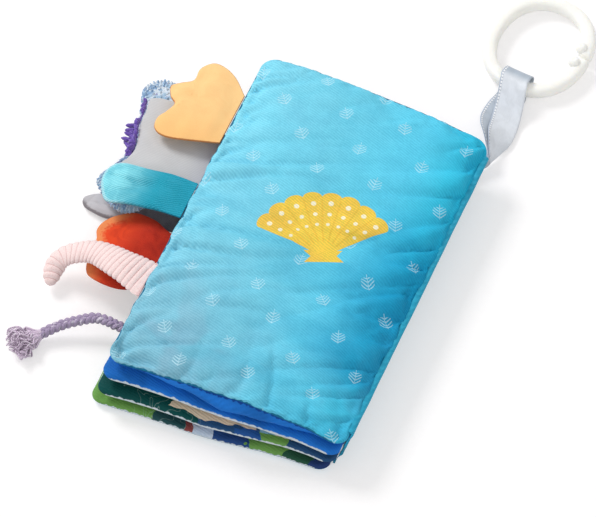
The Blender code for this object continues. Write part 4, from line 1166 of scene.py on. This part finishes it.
def soft_relief(height, size, seed, fold=0.0, fold_pitch=0.01):
    """Uneven stuffing, with creases that run out from the seam when fold is given."""

    def relief(x, y, side):
        rise = noise.noise((x / size, y / size, seed + side)) * height
        if fold:
            rise += fold * (min(1.0, abs(noise.noise((y / fold_pitch, x / 0.04, seed + 9.0))) * 3.0) - 0.6)
        return rise

    return relief


def flap(obj, name):
    """Bakes a tail's placing into its mesh and hides the model's tail that it stands in for."""
    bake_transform(obj)
    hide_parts(name)


def make_tail(name, material, relief):
    """One of the flat padded tails."""
    vertices, faces, flat, edge = tail_shape(name, relief)
    obj = piece(name.replace("tail_", "cloth_tail_"), vertices, faces, material, flat, edge)
    return obj


def finger(base, ahead, reach, radius, seed):
    """A plump bristly finger of chenille, as (vertices, faces, flat)."""
    route = [base + ahead * reach * k / 7 for k in range(8)]

    def thickness(share, angle):
        tuft = noise.noise((share * reach / 0.0011 + seed, math.cos(angle) * 1.5, math.sin(angle) * 1.5))
        ends = math.sqrt(max(0.05, 1.0 - abs(2.0 * share - 1.0) ** 3))
        return radius * ends * (1.0 + 0.45 * tuft)

    vertices = tube(route, thickness, 9, Vector((0.3, 0.4, 1.0)).cross(ahead).normalized())
    flat = [(k // 9 * 0.0005 + seed * 0.003, k % 9 * 0.0006) for k in range(len(vertices))]
    return vertices, ring_faces(len(route), 9), flat


def make_fringe(material):
    """Chenille trim along the grey tail's outer edge: a thin core with plump fingers that point every way."""
    facts = TAILS["tail_grey"]
    root, loop = tail_outline(facts)
    edge = sorted((p.y, p.x) for p in loop if root.x - p.x > facts["reach"] / 2)
    first, last = (root.y + share * facts["width"] for share in (0.40, -0.30))
    core, parts = [], []
    count, core_radius, finger_radius = 34, 0.0006, 0.00115
    for k in range(count + 1):
        t = k / count
        y = first + (last - first) * t
        x = between(y, edge)
        core.append(Vector((x - 0.0011, y, tail_level(facts, root.x - x) - 0.0008 * t)))
        # Small tufts at the far end, then a bare stretch, then full ones
        full = 0.42 if t < 0.22 else ease((t - 0.36) / 0.14)
        if full < 0.15:
            continue
        for row in range(2):
            chance = noise.cell_vector((k * 3.7 + row * 11.3, 4.0, 2.0))
            turn = math.pi + (chance.x - 0.5) * 2.8
            rise = (chance.y - 0.30) * 1.1
            ahead = Vector((math.cos(turn), math.sin(turn), rise)).normalized()
            reach = (0.0024 + 0.0050 * chance.z**1.5) * full
            radius = finger_radius * (0.55 + 0.45 * full)
            parts.append(finger(core[-1] + UP * 0.0004, ahead, reach, radius, k + row * 0.5))
    vertices = tube(core, lambda share, angle: core_radius, 8)
    parts.append((vertices, ring_faces(len(core), 8), [(k * 0.0003, 0.0) for k in range(len(vertices))]))
    obj = joined("chenille_trim", parts, material)
    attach(obj, "first_leaf")
    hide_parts("tail_grey_fringe")
    return obj


def turquoise_relief(x, y, side):
    """A soft dimple across the middle of the turquoise tail, folds from its seam, and uneven stuffing."""
    rise = noise.noise((x / 0.009, y / 0.006, 2.5 + side)) * 0.0011
    dimple = math.exp(-((x + 0.080) / 0.007) ** 2 - ((y - 0.013 - (x + 0.080) * 0.25) / 0.0040) ** 2)
    fold = min(1.0, abs(noise.noise((y / 0.007, x / 0.03, 6.0))) * 3.0) - 0.6
    return rise + 0.0009 * fold - 0.0020 * dimple * (1 if side > 0 else 0)


def shaggy_relief(x, y, side):
    """Tufts of long pile."""
    tuft = noise.noise((x / 0.0016, y / 0.0016, 3.0 + side)) + 0.6 * noise.noise((x / 0.0008, y / 0.0008, 7.0))
    return tuft * 0.0006


def make_pile(material):
    """Long tufts of the plush that stand out along its outline and over its upper face."""
    covered_from, rim_width, thick = -0.068, 0.0035, 0.00075
    vertices, _, flat, edge = tail_shape("tail_plush", shaggy_relief)
    half = len(vertices) // 2
    middle = sum(vertices[:half], Vector()) / half
    parts = []
    for k in range(half):
        near = edge[k][0] < rim_width
        if k % (2 if near else 5) or vertices[k].x > covered_from:
            continue
        chance = noise.cell_vector((k * 1.37, 8.0, 5.0))
        out = vertices[k] - middle
        out.z = 0.0
        lean = out.normalized() * (0.9 if near else 0.2)
        lean += Vector((chance.x - 0.5, chance.y - 0.5, 0.25 + 0.5 * chance.z))
        reach = 0.0011 + 0.0010 * chance.z
        route = [vertices[k] + lean.normalized() * reach * (step / 3 - 0.35) for step in range(4)]
        cone = tube(route, lambda share, angle: thick * (1.0 - 0.75 * share**2), 6, Vector((0.2, 0.9, 0.1)))
        x, y = flat[k]
        parts.append((cone, ring_faces(4, 6), [(x + i // 6 * 0.0004, y + i % 6 * 0.0003) for i in range(24)]))
    return joined("plush_tufts", parts, material)


# The pink tail's way out and along, as shares of its reach and sway, with its widths, thicknesses and heights
PINK_PLACE = -0.243
PINK_REACH = 0.0512
PINK_SWAY = 0.0165
PINK_HALF_WIDTH = 0.0108
PINK_HALF_THICKNESS = 0.0040
PINK_ROUTE = ((0.0, 0.0), (0.29, 0.24), (0.62, 0.58), (0.84, 0.53), (0.965, 0.32), (1.0, 0.0), (0.975, -0.50))
PINK_WIDTHS = (1.0, 0.84, 0.65, 0.575, 0.54, 0.48, 0.30)
PINK_THICKNESSES = (0.16, 0.86, 1.0, 0.95, 0.90, 0.84, 0.50)
PINK_HEIGHTS = (1.0, 0.945, 0.72, 0.52, 0.37, 0.27, 0.20)


def make_pink_tail(material):
    """Stuffed corduroy tail, its ribs running round it, that curls at the tip."""
    root = tail_root(3, PINK_PLACE)
    middles = [root + Vector((-out * PINK_REACH, sway * PINK_SWAY, seam_height(3) * height))
               for (out, sway), height in zip(PINK_ROUTE, PINK_HEIGHTS)]
    spread = [Vector((wide * PINK_HALF_WIDTH, thick * PINK_HALF_THICKNESS, 0.0))
              for wide, thick in zip(PINK_WIDTHS, PINK_THICKNESSES)]
    path, size = smooth_route(middles, 60), smooth_route(spread, 60)
    lengths = ways_along(path)
    pitch = sizes().rib_pitch
    stations = round(lengths[-1] / (pitch / 8))
    sides = 32
    vertices, flat = [], []
    where = 0
    for k in range(stations + 1):
        goal = lengths[-1] * k / stations
        while where < len(path) - 2 and lengths[where + 1] < goal:
            where += 1
        mix = (goal - lengths[where]) / max(1e-9, lengths[where + 1] - lengths[where])
        place = path[where].lerp(path[where + 1], mix)
        wide = size[where].lerp(size[where + 1], mix)
        ahead = path[min(where + 6, len(path) - 1)] - path[max(where - 6, 0)]
        if k == 0:
            ahead = Vector((-1.0, 0.0, 0.0))
        ahead.z = 0.0
        ahead.normalize()
        across = Vector((-ahead.y, ahead.x, 0.0))
        groove = 0.0008 * (1.0 - math.sqrt(abs(math.sin(math.pi * goal / pitch)))) * ease(goal / 0.002)
        # The tip closes like the end of a finger
        left = (lengths[-1] - goal) / 0.0045
        close = math.sqrt(max(0.02, 1.0 - max(0.0, 1.0 - left) ** 2)) if left < 1.0 else 1.0
        lean = noise.noise((goal / 0.02, 3.0, 1.0)) * 0.0006
        for side in range(sides):
            angle = 2 * math.pi * side / sides
            swell = 1.0 + 0.04 * noise.noise((goal / 0.010, math.cos(angle), math.sin(angle)))
            out = across * math.cos(angle) * (wide.x * swell - groove) * close
            up = UP * math.sin(angle) * (wide.y * swell - groove * 0.8) * close
            vertices.append(place + out + up + ahead * lean * math.cos(angle))
            flat.append((goal, wide.x * angle))
    obj = piece("cloth_tail_pink", vertices, ring_faces(stations + 1, sides), material, flat)
    sharpen(obj, 75.0)
    flap(obj, "tail_pink")
    return obj


# Cord

# Where the cord is sewn in, how far a strand takes to cross over and back, and the cord's way out from the seam
CORD_PLACE = -0.297
PLAIT_LENGTH = 0.0092
CORD_ROUTE = (
    (-0.0001, 0.0, 0.0117), (-0.0056, 0.0002, 0.0117), (-0.0111, 0.0010, 0.0113), (-0.0173, 0.0006, 0.0103),
    (-0.0236, -0.0027, 0.0090), (-0.0298, -0.0065, 0.0074), (-0.0351, -0.0107, 0.0057), (-0.0394, -0.0153, 0.0042),
)


def cord_path():
    """Middle of the cord, from the seam to where it frays."""
    root = tail_root(1, CORD_PLACE)
    drop = seam_height(1) / CORD_ROUTE[0][2]
    points = [root + Vector((x, y, z * drop)) for x, y, z in CORD_ROUTE]
    return even_route(smooth_route(points, 16), 40)


def make_cord(material):
    """The braided cord: three strands plaited along its route."""
    path = cord_path()
    length = ways_along(path)[-1]
    frames = frames_along(even_route(path, 220))
    reach = sizes().cord_diameter / 2
    parts = []
    for strand in range(3):
        route = []
        for k, (place, side, up) in enumerate(frames):
            turn = 2 * math.pi * (length * k / (len(frames) - 1) / PLAIT_LENGTH + strand / 3)
            route.append(place + side * math.sin(turn) * reach * 0.52 + up * math.sin(2 * turn) * reach * 0.34)

        def radius(share, angle, strand=strand):
            fuzz = noise.noise((share * 90, math.cos(angle) + strand * 5.0, math.sin(angle)))
            return reach * (0.46 + 0.05 * fuzz)

        vertices = tube(route, radius, 12)
        flat = [(k // 12 * length / len(frames), k % 12 * 0.0004 + strand * 0.1) for k in range(len(vertices))]
        parts.append((vertices, ring_faces(len(route), 12), flat))
    obj = joined("braided_cord", parts, material)
    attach(obj, "second_leaf")
    return obj, path, length


def make_tuft(material):
    """The frayed end: strands that spread from the cord's end and droop to the table."""
    path = cord_path()
    start = path[-1]
    ahead = (path[-1] - path[-2]).normalized()
    flat_ahead = Vector((ahead.x, ahead.y, 0.0)).normalized()
    across = Vector((-flat_ahead.y, flat_ahead.x, 0.0))
    parts = []
    strands, longest, spread, thick = 96, 0.0172, 0.0062, 0.00050
    for k in range(strands):
        # Turned by the golden share each time, which spreads them evenly over the cord's end
        ring = math.sqrt((k + 0.5) / strands)
        angle = 2 * math.pi * ((k * 0.61803398875) % 1.0)
        side = math.cos(angle) * ring
        up = math.sin(angle) * ring
        reach = longest * (0.72 + 0.28 * (1.0 - ring * 0.55)) * (0.86 + 0.2 * ((k * 0.37) % 1.0))
        begin = start - ahead * 0.0012 + across * side * 0.0021 + UP * up * 0.0019
        points = []
        for step in range(15):
            t = step / 14
            wobble = noise.noise((k * 1.7, t * 5.0, 3.0)) * 0.0040 * t
            # Loose ends curl
            curl = 0.0012 * ease((t - 0.2) / 0.5)
            wobble += curl * math.cos(14.0 * t + 2.4 * k)
            place = begin + flat_ahead * reach * t + across * (side * spread * ease(t * 1.3) + wobble)
            place.z = begin.z + up * 0.0026 * ease(t * 1.5) - 0.0006 * t
            place.z += 0.0012 * noise.noise((k * 2.3, t * 5.0, 8.0)) * t + curl * math.sin(14.0 * t + 2.4 * k)
            place += flat_ahead * curl * math.cos(9.0 * t + 1.3 * k)
            place.z = max(place.z, 1.1 * thick)
            points.append(place)
        route = even_route(smooth_route(points, 3), 26)
        vertices = tube(route, lambda share, turn: thick * (1.0 - 0.25 * share), 5)
        flat = [(i // 5 * 0.0010 + k * 0.013, i % 5 * 0.0005) for i in range(len(vertices))]
        parts.append((vertices, ring_faces(len(route), 5), flat))
    return joined("frayed_end", parts, material)


# Ribbon and ring

# The ribbon's tilt as shares of upright, along its way from the book to the ring; half its width, the thickness of
# each strand, the gap between the two strands, and their height over the table
RIBBON_TILTS = ((0.0, 1.0), (0.10, 0.64), (0.34, 0.33), (0.62, 0.09), (0.85, 0.02), (1.0, 0.0))
RIBBON_HALF = 0.0075
RIBBON_THICK = 0.0005
STRAND_GAP = 0.0003
RIBBON_FLOOR = 0.0004


def ribbon_directions():
    """Directions along the ribbon and across it where it meets the ring."""
    along = Vector((-math.sin(RING_TURN), math.cos(RING_TURN), 0.0))
    across = Vector((math.cos(RING_TURN), math.sin(RING_TURN), 0.0))
    return along, across


def ribbon_twist(share):
    """Direction across the ribbon at a share of its way from the book to the ring."""
    tilt = math.pi / 2 * smooth_table(share, RIBBON_TILTS)
    turn = RING_TURN * ease(share)
    flat = Vector((math.cos(turn), math.sin(turn), 0.0))
    return (flat * math.cos(tilt) - UP * math.sin(tilt)).normalized()


def smooth_table(value, table):
    """Read from a table, averaged a little so that the steps between its runs don't show."""
    return sum(between(min(1.0, max(0.0, value + d)), table) for d in (-0.04, -0.02, 0.0, 0.02, 0.04)) / 5


def ribbon_middle(share):
    """Middle of the ribbon pair and half its width at a share of its way from the book to the ring."""
    loop = Vector(RING_PLACE)
    start = Vector(RIBBON_PIVOT)
    start.y += 0.00045
    place = start.lerp(loop, share)
    place.x += 0.0015 * math.sin(math.pi * share)
    half = RIBBON_HALF * (0.5 + 0.5 * ease(share / 0.33))
    drop = abs(ribbon_twist(share).z) * half
    place.z = max(RIBBON_FLOOR + RIBBON_THICK + STRAND_GAP + drop, loop.z * ease(share))
    return place, half


def ribbon_sheet(name, stations, material):
    """A strip through stations of (middle, across, normal, half width, thickness), with its edges rounded off."""
    shares = (-1.0, -0.97, -0.90, -0.5, 0.0, 0.5, 0.90, 0.97, 1.0)
    vertices, flat = [], []
    gone = 0.0
    last = stations[0][0]
    for middle, wide, normal, half, thick in stations:
        gone += (middle - last).length
        last = middle
        for face in (-1, 1):
            row = shares if face < 0 else shares[::-1]
            for share in row:
                rise = thick * (0.35 if abs(share) == 1.0 else 1.0)
                # A thin bead along each edge
                rise *= 1.45 if 0.85 < abs(share) < 0.99 else 1.0
                vertices.append(middle + wide * half * share + normal * face * rise)
                flat.append((RIBBON_HALF * share, gone))
    return piece(name, vertices, ring_faces(len(stations), 2 * len(shares)), material, flat)


def make_ribbon(material):
    """The ribbon: two strands that leave the cover's corner on edge, twist flat and fold round the ring's bar."""
    along, across = ribbon_directions()
    loop = Vector(RING_PLACE)
    slip_aside, slip_down = 0.0056, 0.0005
    thick = RIBBON_THICK / 2
    near = STRAND_GAP / 2 + thick
    bar = sizes().ring_bar / 2
    low = bar + 0.0003 + thick
    sagitta = (RIBBON_HALF + 0.0020) ** 2 * RING_ALONG / (2 * RING_ACROSS**2)
    high = low + sagitta
    under, over = [], []
    steps = 64
    for step in range(steps + 1):
        share = step / steps
        middle, half = ribbon_middle(share)
        wide = ribbon_twist(share)
        normal = wide.cross(along).normalized()
        parting = ease((share - 0.62) / 0.38)
        # The under strand slips out to one side between the cover and the ring
        slip = math.sin(math.pi * min(1.0, share / 0.94)) ** 1.4
        below = middle - normal * (near + (low - near) * parting) - wide * slip_aside * slip
        below.z = max(below.z - slip_down * slip, RIBBON_FLOOR + RIBBON_THICK + abs(wide.z) * half)
        under.append((below, wide, normal, half, thick))
        over.append((middle + normal * (near + (high - near) * parting), wide, normal, half, thick))
    bend = []
    for step in range(1, 24):
        angle = math.pi * (step / 24 - 0.5)
        out = along * math.cos(angle) + UP * math.sin(angle)
        middle = loop + UP * sagitta / 2 + out * (low + high) / 2
        middle += along * sagitta * math.cos(angle)
        bend.append((middle, across, -out, RIBBON_HALF, thick))
    back = [(m, w, -n, h, t) for m, w, n, h, t in over[::-1]]
    obj = ribbon_sheet("satin_ribbon", under + bend + back, material)
    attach(obj, "ribbon")
    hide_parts("ribbon_loop")
    return obj, ways_along([station[0] for station in under + bend + back])[-1]


def make_ribbon_end(material):
    """The ribbon's sewn end, gathered into the back cover's seam."""
    reach = LEAF_CORNER - 0.0006
    start = Vector((sizes().half_width - LEAF_CORNER, sizes().half_length - LEAF_CORNER, 0.0030))
    turn = math.radians(60.0)
    start += Vector((math.cos(turn), math.sin(turn), 0.0)) * reach
    end, end_half = ribbon_middle(0.0)
    thick = RIBBON_THICK + STRAND_GAP / 2
    stations = []
    for step in range(17):
        t = step / 16
        middle = start.lerp(end, t)
        middle.x = start.x + (end.x - start.x) * ease(t)
        half = 0.0021 + (end_half - 0.0021) * t
        middle.z = max(middle.z, half + RIBBON_FLOOR + thick)
        stations.append((middle, -UP, Vector((1.0, 0.0, 0.0)), half, thick * (0.85 + 0.15 * t)))
    obj = ribbon_sheet("ribbon_sewn_end", stations, material)
    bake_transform(obj)
    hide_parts("ribbon_base")
    return obj


def ring_spot(angle):
    """A place on the ring's middle line, a little fuller than an oval, and the direction outwards from it."""
    along, across = ribbon_directions()
    wide = math.copysign(abs(math.cos(angle)) ** 0.92, math.cos(angle))
    long = math.copysign(abs(math.sin(angle)) ** 0.92, math.sin(angle))
    outward = across * math.cos(angle) * RING_ALONG + along * math.sin(angle) * RING_ACROSS
    place = Vector(RING_PLACE) + along * RING_ALONG * (1.0 + long) + across * RING_ACROSS * wide
    return place, outward.normalized()


def make_ring(material):
    """The split link ring: a bar with softly flattened sides and a mould line, closed by two knobs."""
    bar = sizes().ring_bar / 2
    mean_radius, end_rounding, knob_away = 0.026, 0.0012, 0.0040
    gap = RING_SPLIT / RING_ACROSS
    stations, sides = 200, 40
    vertices = []
    for k in range(stations + 1):
        share = k / stations
        angle = RING_SPLIT_ANGLE + gap / 2 + (2 * math.pi - gap) * share
        place, outward = ring_spot(angle)
        end = min(share, 1.0 - share) * 2 * math.pi * mean_radius
        close = math.sqrt(max(0.25, 1.0 - max(0.0, 1.0 - end / end_rounding) ** 2))
        for side in range(sides):
            turn = 2 * math.pi * side / sides
            # Rounded-square section, with a fine raised line where the mould's halves met
            square = (abs(math.cos(turn)) ** 2.6 + abs(math.sin(turn)) ** 2.6) ** (-1 / 2.6)
            line = 0.00018 * math.exp(-(math.sin(turn) / 0.09) ** 2)
            reach = bar * 0.95 * square * close + line
            vertices.append(place + reach * (outward * math.cos(turn) + UP * math.sin(turn)))
    parts = [(vertices, ring_faces(stations + 1, sides), [(0.0, 0.0)] * len(vertices))]
    for sign in (1, -1):
        place, outward = ring_spot(RING_SPLIT_ANGLE + sign * knob_away / RING_ACROSS)
        parts.append(knob(place + (UP * 0.76 - outward * 0.80) * bar))
    obj = joined("plastic_link", parts, material)
    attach(obj, "ring")
    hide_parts("link_ring")
    return obj


def knob(place):
    """A domed knob with a shallow dimple on its top, as (vertices, faces, flat)."""
    radius, rows, sides = 0.0031, 16, 28
    vertices = []
    for row in range(rows + 1):
        lift = -math.pi / 2 + math.pi * (row + 0.5) / (rows + 1)
        out = radius * math.cos(lift)
        up = radius * math.sin(lift)
        up -= 0.0007 * math.exp(-(out / 0.0010) ** 2) if up > 0 else 0.0
        for side in range(sides):
            turn = 2 * math.pi * side / sides
            vertices.append(place + Vector((out * math.cos(turn), out * math.sin(turn), up)))
    return vertices, ring_faces(rows + 1, sides), [(0.0, 0.0)] * len(vertices)


# Studio


def add_lamp(name, position, size, power):
    """A round soft light that points at the book."""
    lamp = bpy.data.lights.new(name, "AREA")
    lamp.shape = "DISK"
    lamp.size = size
    lamp.energy = power
    obj = bpy.data.objects.new(name, lamp)
    obj.location = position
    obj.rotation_euler = (-Vector(position)).to_track_quat("-Z", "Y").to_euler()
    bpy.context.scene.collection.objects.link(obj)


# The photograph's camera: its turn and rise round the book, its distance, the point at the picture's middle, and
# its focal length and the picture's width in pixels
CAMERA_TURN = math.radians(23.077)
CAMERA_RISE = math.radians(56.365)
CAMERA_AWAY = 2.2
CAMERA_TARGET = Vector((0.00358, 0.01121, 0.015))
CAMERA_FOCUS = 4483.18
PICTURE_WIDTH = 596


def add_camera():
    """Camera at the photograph's angle."""
    flat = Vector((math.sin(CAMERA_TURN), -math.cos(CAMERA_TURN), 0.0))
    back = flat * math.cos(CAMERA_RISE) + UP * math.sin(CAMERA_RISE)
    right = UP.cross(flat)
    data = bpy.data.cameras.new("camera")
    data.sensor_fit = "HORIZONTAL"
    data.sensor_width = 36.0
    data.lens = CAMERA_FOCUS * data.sensor_width / PICTURE_WIDTH
    data.clip_end = 20.0
    obj = bpy.data.objects.new("camera", data)
    axes = Matrix((right, back.cross(right), back)).transposed().to_4x4()
    obj.matrix_world = Matrix.Translation(CAMERA_TARGET + back * CAMERA_AWAY) @ axes
    bpy.context.scene.collection.objects.link(obj)
    bpy.context.scene.camera = obj


def seen_by(tree, *kinds):
    """1 for the named kinds of ray and 0 for the others."""
    seen, *others = put(tree, "ShaderNodeLightPath", out=kinds)
    for other in others:
        seen = seen.math("MAXIMUM", other)
    return seen


def backdrop_material():
    """Near-white paper; what the camera sees of it is lifted so that lit paper reads as white and shadow stays."""
    lift = 0.46
    made = new_material("studio_paper", 0.9, specular=0.1)
    tree = made.node_tree
    grain = noise_of(solid_place(tree), 350.0, 3.0)
    seen = seen_by(tree, "Is Camera Ray", "Is Transmission Ray")
    tint = mixed(grain.ramp(0.3, 0.7), (0.86, 0.86, 0.865), (0.885, 0.885, 0.89))
    finish(made, mixed(seen, tint, times(tint, (0.70, 0.68, 0.675))), grain, 0.00005, 0.2)
    glow = put(tree, "ShaderNodeEmission", None, {"Color": (1.0, 1.0, 1.0, 1.0), "Strength": seen * lift})
    paper = Wire(tree.nodes["Principled BSDF"].outputs[0])
    total = put(tree, "ShaderNodeAddShader", None, {0: paper, 1: glow})
    tree.links.new(total.socket, tree.nodes["Material Output"].inputs["Surface"])
    return made


# Operators


class CLOTHBOOK_OT_stage(bpy.types.Operator):
    """Sets the camera, the pale floor and the soft studio light"""

    bl_idname = "clothbook.stage"
    bl_label = "Studio"

    def execute(self, context):
        add_camera()
        scene = context.scene
        scene.view_settings.view_transform = "Standard"
        world = bpy.data.worlds.new("studio_world")
        world.use_nodes = True
        tree = world.node_tree
        shader = tree.nodes["Background"]
        shader.inputs["Color"].default_value = (1.0, 1.0, 1.0, 1.0)
        # The sky shows white, but lights the book less than that
        seen = seen_by(tree, "Is Camera Ray", "Is Glossy Ray", "Is Transmission Ray")
        light = 0.58
        tree.links.new((seen * (1.0 - light) + light).socket, shader.inputs["Strength"])
        scene.world = world
        floor = bpy.data.objects.new("floor", bpy.data.meshes.new("floor"))
        far = 4.0
        corners = [(-far, -far, 0.0), (far, -far, 0.0), (far, far, 0.0), (-far, far, 0.0)]
        floor.data.from_pydata(corners, [], [(0, 1, 2, 3)])
        floor.data.materials.append(backdrop_material())
        floor.location = (0.0, 0.0, -0.0001)
        scene.collection.objects.link(floor)
        add_lamp("key", (-1.30, 0.60, 1.30), 0.75, 21.0)
        add_lamp("fill", (0.7, -1.3, 1.5), 1.3, 5.0)
        return {"FINISHED"}


class CLOTHBOOK_OT_cord(bpy.types.Operator):
    """Plaits the lilac cord and frays its end"""

    bl_idname = "clothbook.cord"
    bl_label = "Braided Cord"

    def execute(self, context):
        material = yarn("lilac_braid", tuple(colours().lilac), (0.90, 0.87, 0.92))
        obj, path, length = make_cord(material)
        end = make_tuft(yarn("frayed_lilac", linear(252, 230, 254), (1.0, 0.98, 1.0)))
        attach(end, "second_leaf")
        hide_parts("cord")
        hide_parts("cord_tuft")
        return {"FINISHED"}


class CLOTHBOOK_OT_leaves(bpy.types.Operator):
    """Sews the two padded covers and the two inner leaves"""

    bl_idname = "clothbook.leaves"
    bl_label = "Padded Leaves"

    def execute(self, context):
        tone = colours()
        white = linear(214, 224, 230)
        blue = printed_twill("cover_print_and_shade", cover_print_and_shade, linear(30, 120, 158), 0.0004, 0.75)
        lining = printed_twill("cover_lining_print", page_blue_print, linear(16, 70, 150), 0.0002, 0.5)
        royal = printed_twill("page_blue_print", page_blue_print, white, 0.0004, 0.5)
        cream_run = ((0.0, tuple(tone.page_dark)), (0.30, tuple(tone.page_cream)), (0.66, (0.05, 0.12, 0.26)),
                     (0.69, (0.30, 0.58, 0.80)), (0.75, tuple(tone.page_cream)), (0.92, (0.03, 0.08, 0.24)))
        dark = printed_twill("page_dark_print", patched(
            (0.0, tuple(tone.page_dark)), (0.46, (0.02, 0.08, 0.20)), (0.60, (0.02, 0.10, 0.34)),
            (0.68, tuple(tone.page_green)), (0.82, (0.02, 0.08, 0.20)),
            inner=(0.0034, cream_run)), white, 0.0003, 0.4)
        green = printed_twill("page_green_print", patched(
            (0.0, tuple(tone.page_green)), (0.26, (0.02, 0.08, 0.09)), (0.40, (0.26, 0.06, 0.06)),
            (0.47, (0.56, 0.66, 0.80)), (0.52, (0.02, 0.07, 0.24)), (0.66, tuple(tone.page_green)),
            (0.84, (0.02, 0.09, 0.05)), (0.93, (0.02, 0.05, 0.18))), white, 0.0002, 0.4)
        pairs = ((green, blue), (dark, green), (royal, dark), (blue, lining))
        for index, (upper, lower) in enumerate(pairs):
            cell = sizes().cover_cell if index == 3 else sizes().page_cell
            obj = make_leaf(index, upper, lower, cell)
        for strip in make_spine(printed_twill("spine_twill", spine_colour_and_shade)):
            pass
        return {"FINISHED"}


class CLOTHBOOK_OT_tails(bpy.types.Operator):
    """Makes the cloth tails of the fore edge"""

    bl_idname = "clothbook.tails"
    bl_label = "Cloth Tails"

    def execute(self, context):
        tone = colours()
        # Painted shade: the orange deepens towards the tail's near side; its darker rim is partly painted shade on
        # the tail's side and partly the stitched seam.
        orange = velour("orange_velour", tuple(tone.orange), linear(250, 190, 124), linear(255, 226, 176), 900.0,
                        blotch=0.30, fade=(1, 0.074, 0.040, linear(252, 192, 118)),
                        rim=(linear(196, 116, 68), 0.0005))
        obj = make_tail("tail_orange", orange, soft_relief(0.0013, 0.011, 1.0, 0.0007, 0.009))
        flap(obj, "tail_orange")
        # Painted light and shade: the minky is pale out in the light and fades to deep turquoise towards the seam,
        # with a painted highlight along the outline of its outer end.
        minky = velour("turquoise_minky", linear(170, 246, 255), linear(44, 168, 196), linear(130, 226, 244), 900.0,
                       0.12, bump=0.0006, blotch=0.4, fade=(0, -0.096, -0.072, tuple(tone.turquoise)),
                       rim=(linear(200, 242, 250), 0.0018, 0, -0.084, -0.094), ribs=0.0013)
        obj = make_tail("tail_turquoise", minky, turquoise_relief)
        flap(obj, "tail_turquoise")
        knit = smooth_knit("grey_knit", tuple(tone.grey))
        obj = make_tail("tail_grey", knit, soft_relief(0.00035, 0.014, 4.0, 0.0003, 0.012))
        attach(obj, "first_leaf")
        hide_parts("tail_grey")
        chenille = yarn("purple_chenille", tuple(tone.purple), (0.42, 0.32, 0.74), 1500.0)
        make_fringe(chenille)
        # Painted light and shade: the red darkens towards the cover, and the lighter orange rim at its outer end is a
        # painted highlight.
        red = velour("red_velour", tuple(tone.red), linear(190, 44, 30), linear(240, 104, 62), 1000.0, blotch=0.6,
                     fade=(0, -0.086, -0.066, linear(154, 24, 24)),
                     rim=(linear(234, 148, 92), 0.0085, 0, -0.078, -0.091))
        obj = make_tail("tail_red", red, soft_relief(0.0011, 0.011, 6.0, 0.0008, 0.009))
        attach(obj, "first_leaf")
        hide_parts("tail_red")
        plush = speckled_plush("speckled_plush", tuple(tone.plush))
        obj = make_tail("tail_plush", plush, shaggy_relief)
        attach(obj, "second_leaf")
        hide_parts("tail_plush")
        pile = make_pile(plush)
        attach(pile, "second_leaf")
        # Painted shade: the velvet darkens towards the cover and along its near edge.
        velvet = velour("grey_velvet", tuple(tone.velvet), linear(150, 146, 150), linear(222, 220, 222), 1000.0,
                        fade=(0, -0.100, -0.078, linear(112, 104, 110)),
                        rim=(linear(118, 112, 116), 0.0026, 1, 0.0100, 0.0070))
        obj = make_tail("tail_velvet", velvet, soft_relief(0.0006, 0.010, 8.0, 0.0004, 0.007))
        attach(obj, "second_leaf")
        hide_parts("tail_velvet")
        obj = make_pink_tail(corduroy("pink_corduroy", tuple(tone.pink)))
        return {"FINISHED"}


class CLOTHBOOK_OT_link(bpy.types.Operator):
    """Folds the satin ribbon round the milky link ring"""

    bl_idname = "clothbook.link"
    bl_label = "Ribbon and Link"

    def execute(self, context):
        satin = satin_ribbon("blue_grey_satin", tuple(colours().ribbon))
        obj, length = make_ribbon(satin)
        make_ribbon_end(satin)
        ring = make_ring(milky_plastic("milky_plastic_link", tuple(colours().ring)))
        return {"FINISHED"}


class CLOTHBOOK_PT_panel(bpy.types.Panel):
    """Lists the steps that dress the book"""

    bl_label = "Crinkle Cloth Book"
    bl_idname = "CLOTHBOOK_PT_panel"
    bl_space_type = "VIEW_3D"
    bl_region_type = "UI"
    bl_category = "Cloth Book"

    def draw(self, context):
        for operator in OPERATORS:
            self.layout.operator(operator.bl_idname)
        for settings in (context.scene.cloth_book_sizes, context.scene.cloth_book_colours):
            for name in settings.__annotations__:
                self.layout.prop(settings, name)


OPERATORS = (
    CLOTHBOOK_OT_stage, CLOTHBOOK_OT_cord, CLOTHBOOK_OT_leaves, CLOTHBOOK_OT_tails, CLOTHBOOK_OT_link,
)
CLASSES = (ClothBookSizes, ClothBookColours, *OPERATORS, CLOTHBOOK_PT_panel)


def register():
    """Adds the book's settings, operators and panel to Blender."""
    for kind in CLASSES:
        bpy.utils.register_class(kind)
    bpy.types.Scene.cloth_book_sizes = PointerProperty(type=ClothBookSizes)
    bpy.types.Scene.cloth_book_colours = PointerProperty(type=ClothBookColours)


def unregister():
    """Takes them out again."""
    del bpy.types.Scene.cloth_book_colours
    del bpy.types.Scene.cloth_book_sizes
    for kind in reversed(CLASSES):
        bpy.utils.unregister_class(kind)


def main():
    """Dresses the book."""
    register()
    bpy.ops.clothbook.stage()
    bpy.ops.clothbook.cord()
    bpy.ops.clothbook.leaves()
    bpy.ops.clothbook.tails()
    bpy.ops.clothbook.link()


if __name__ == "__main__":
    main()
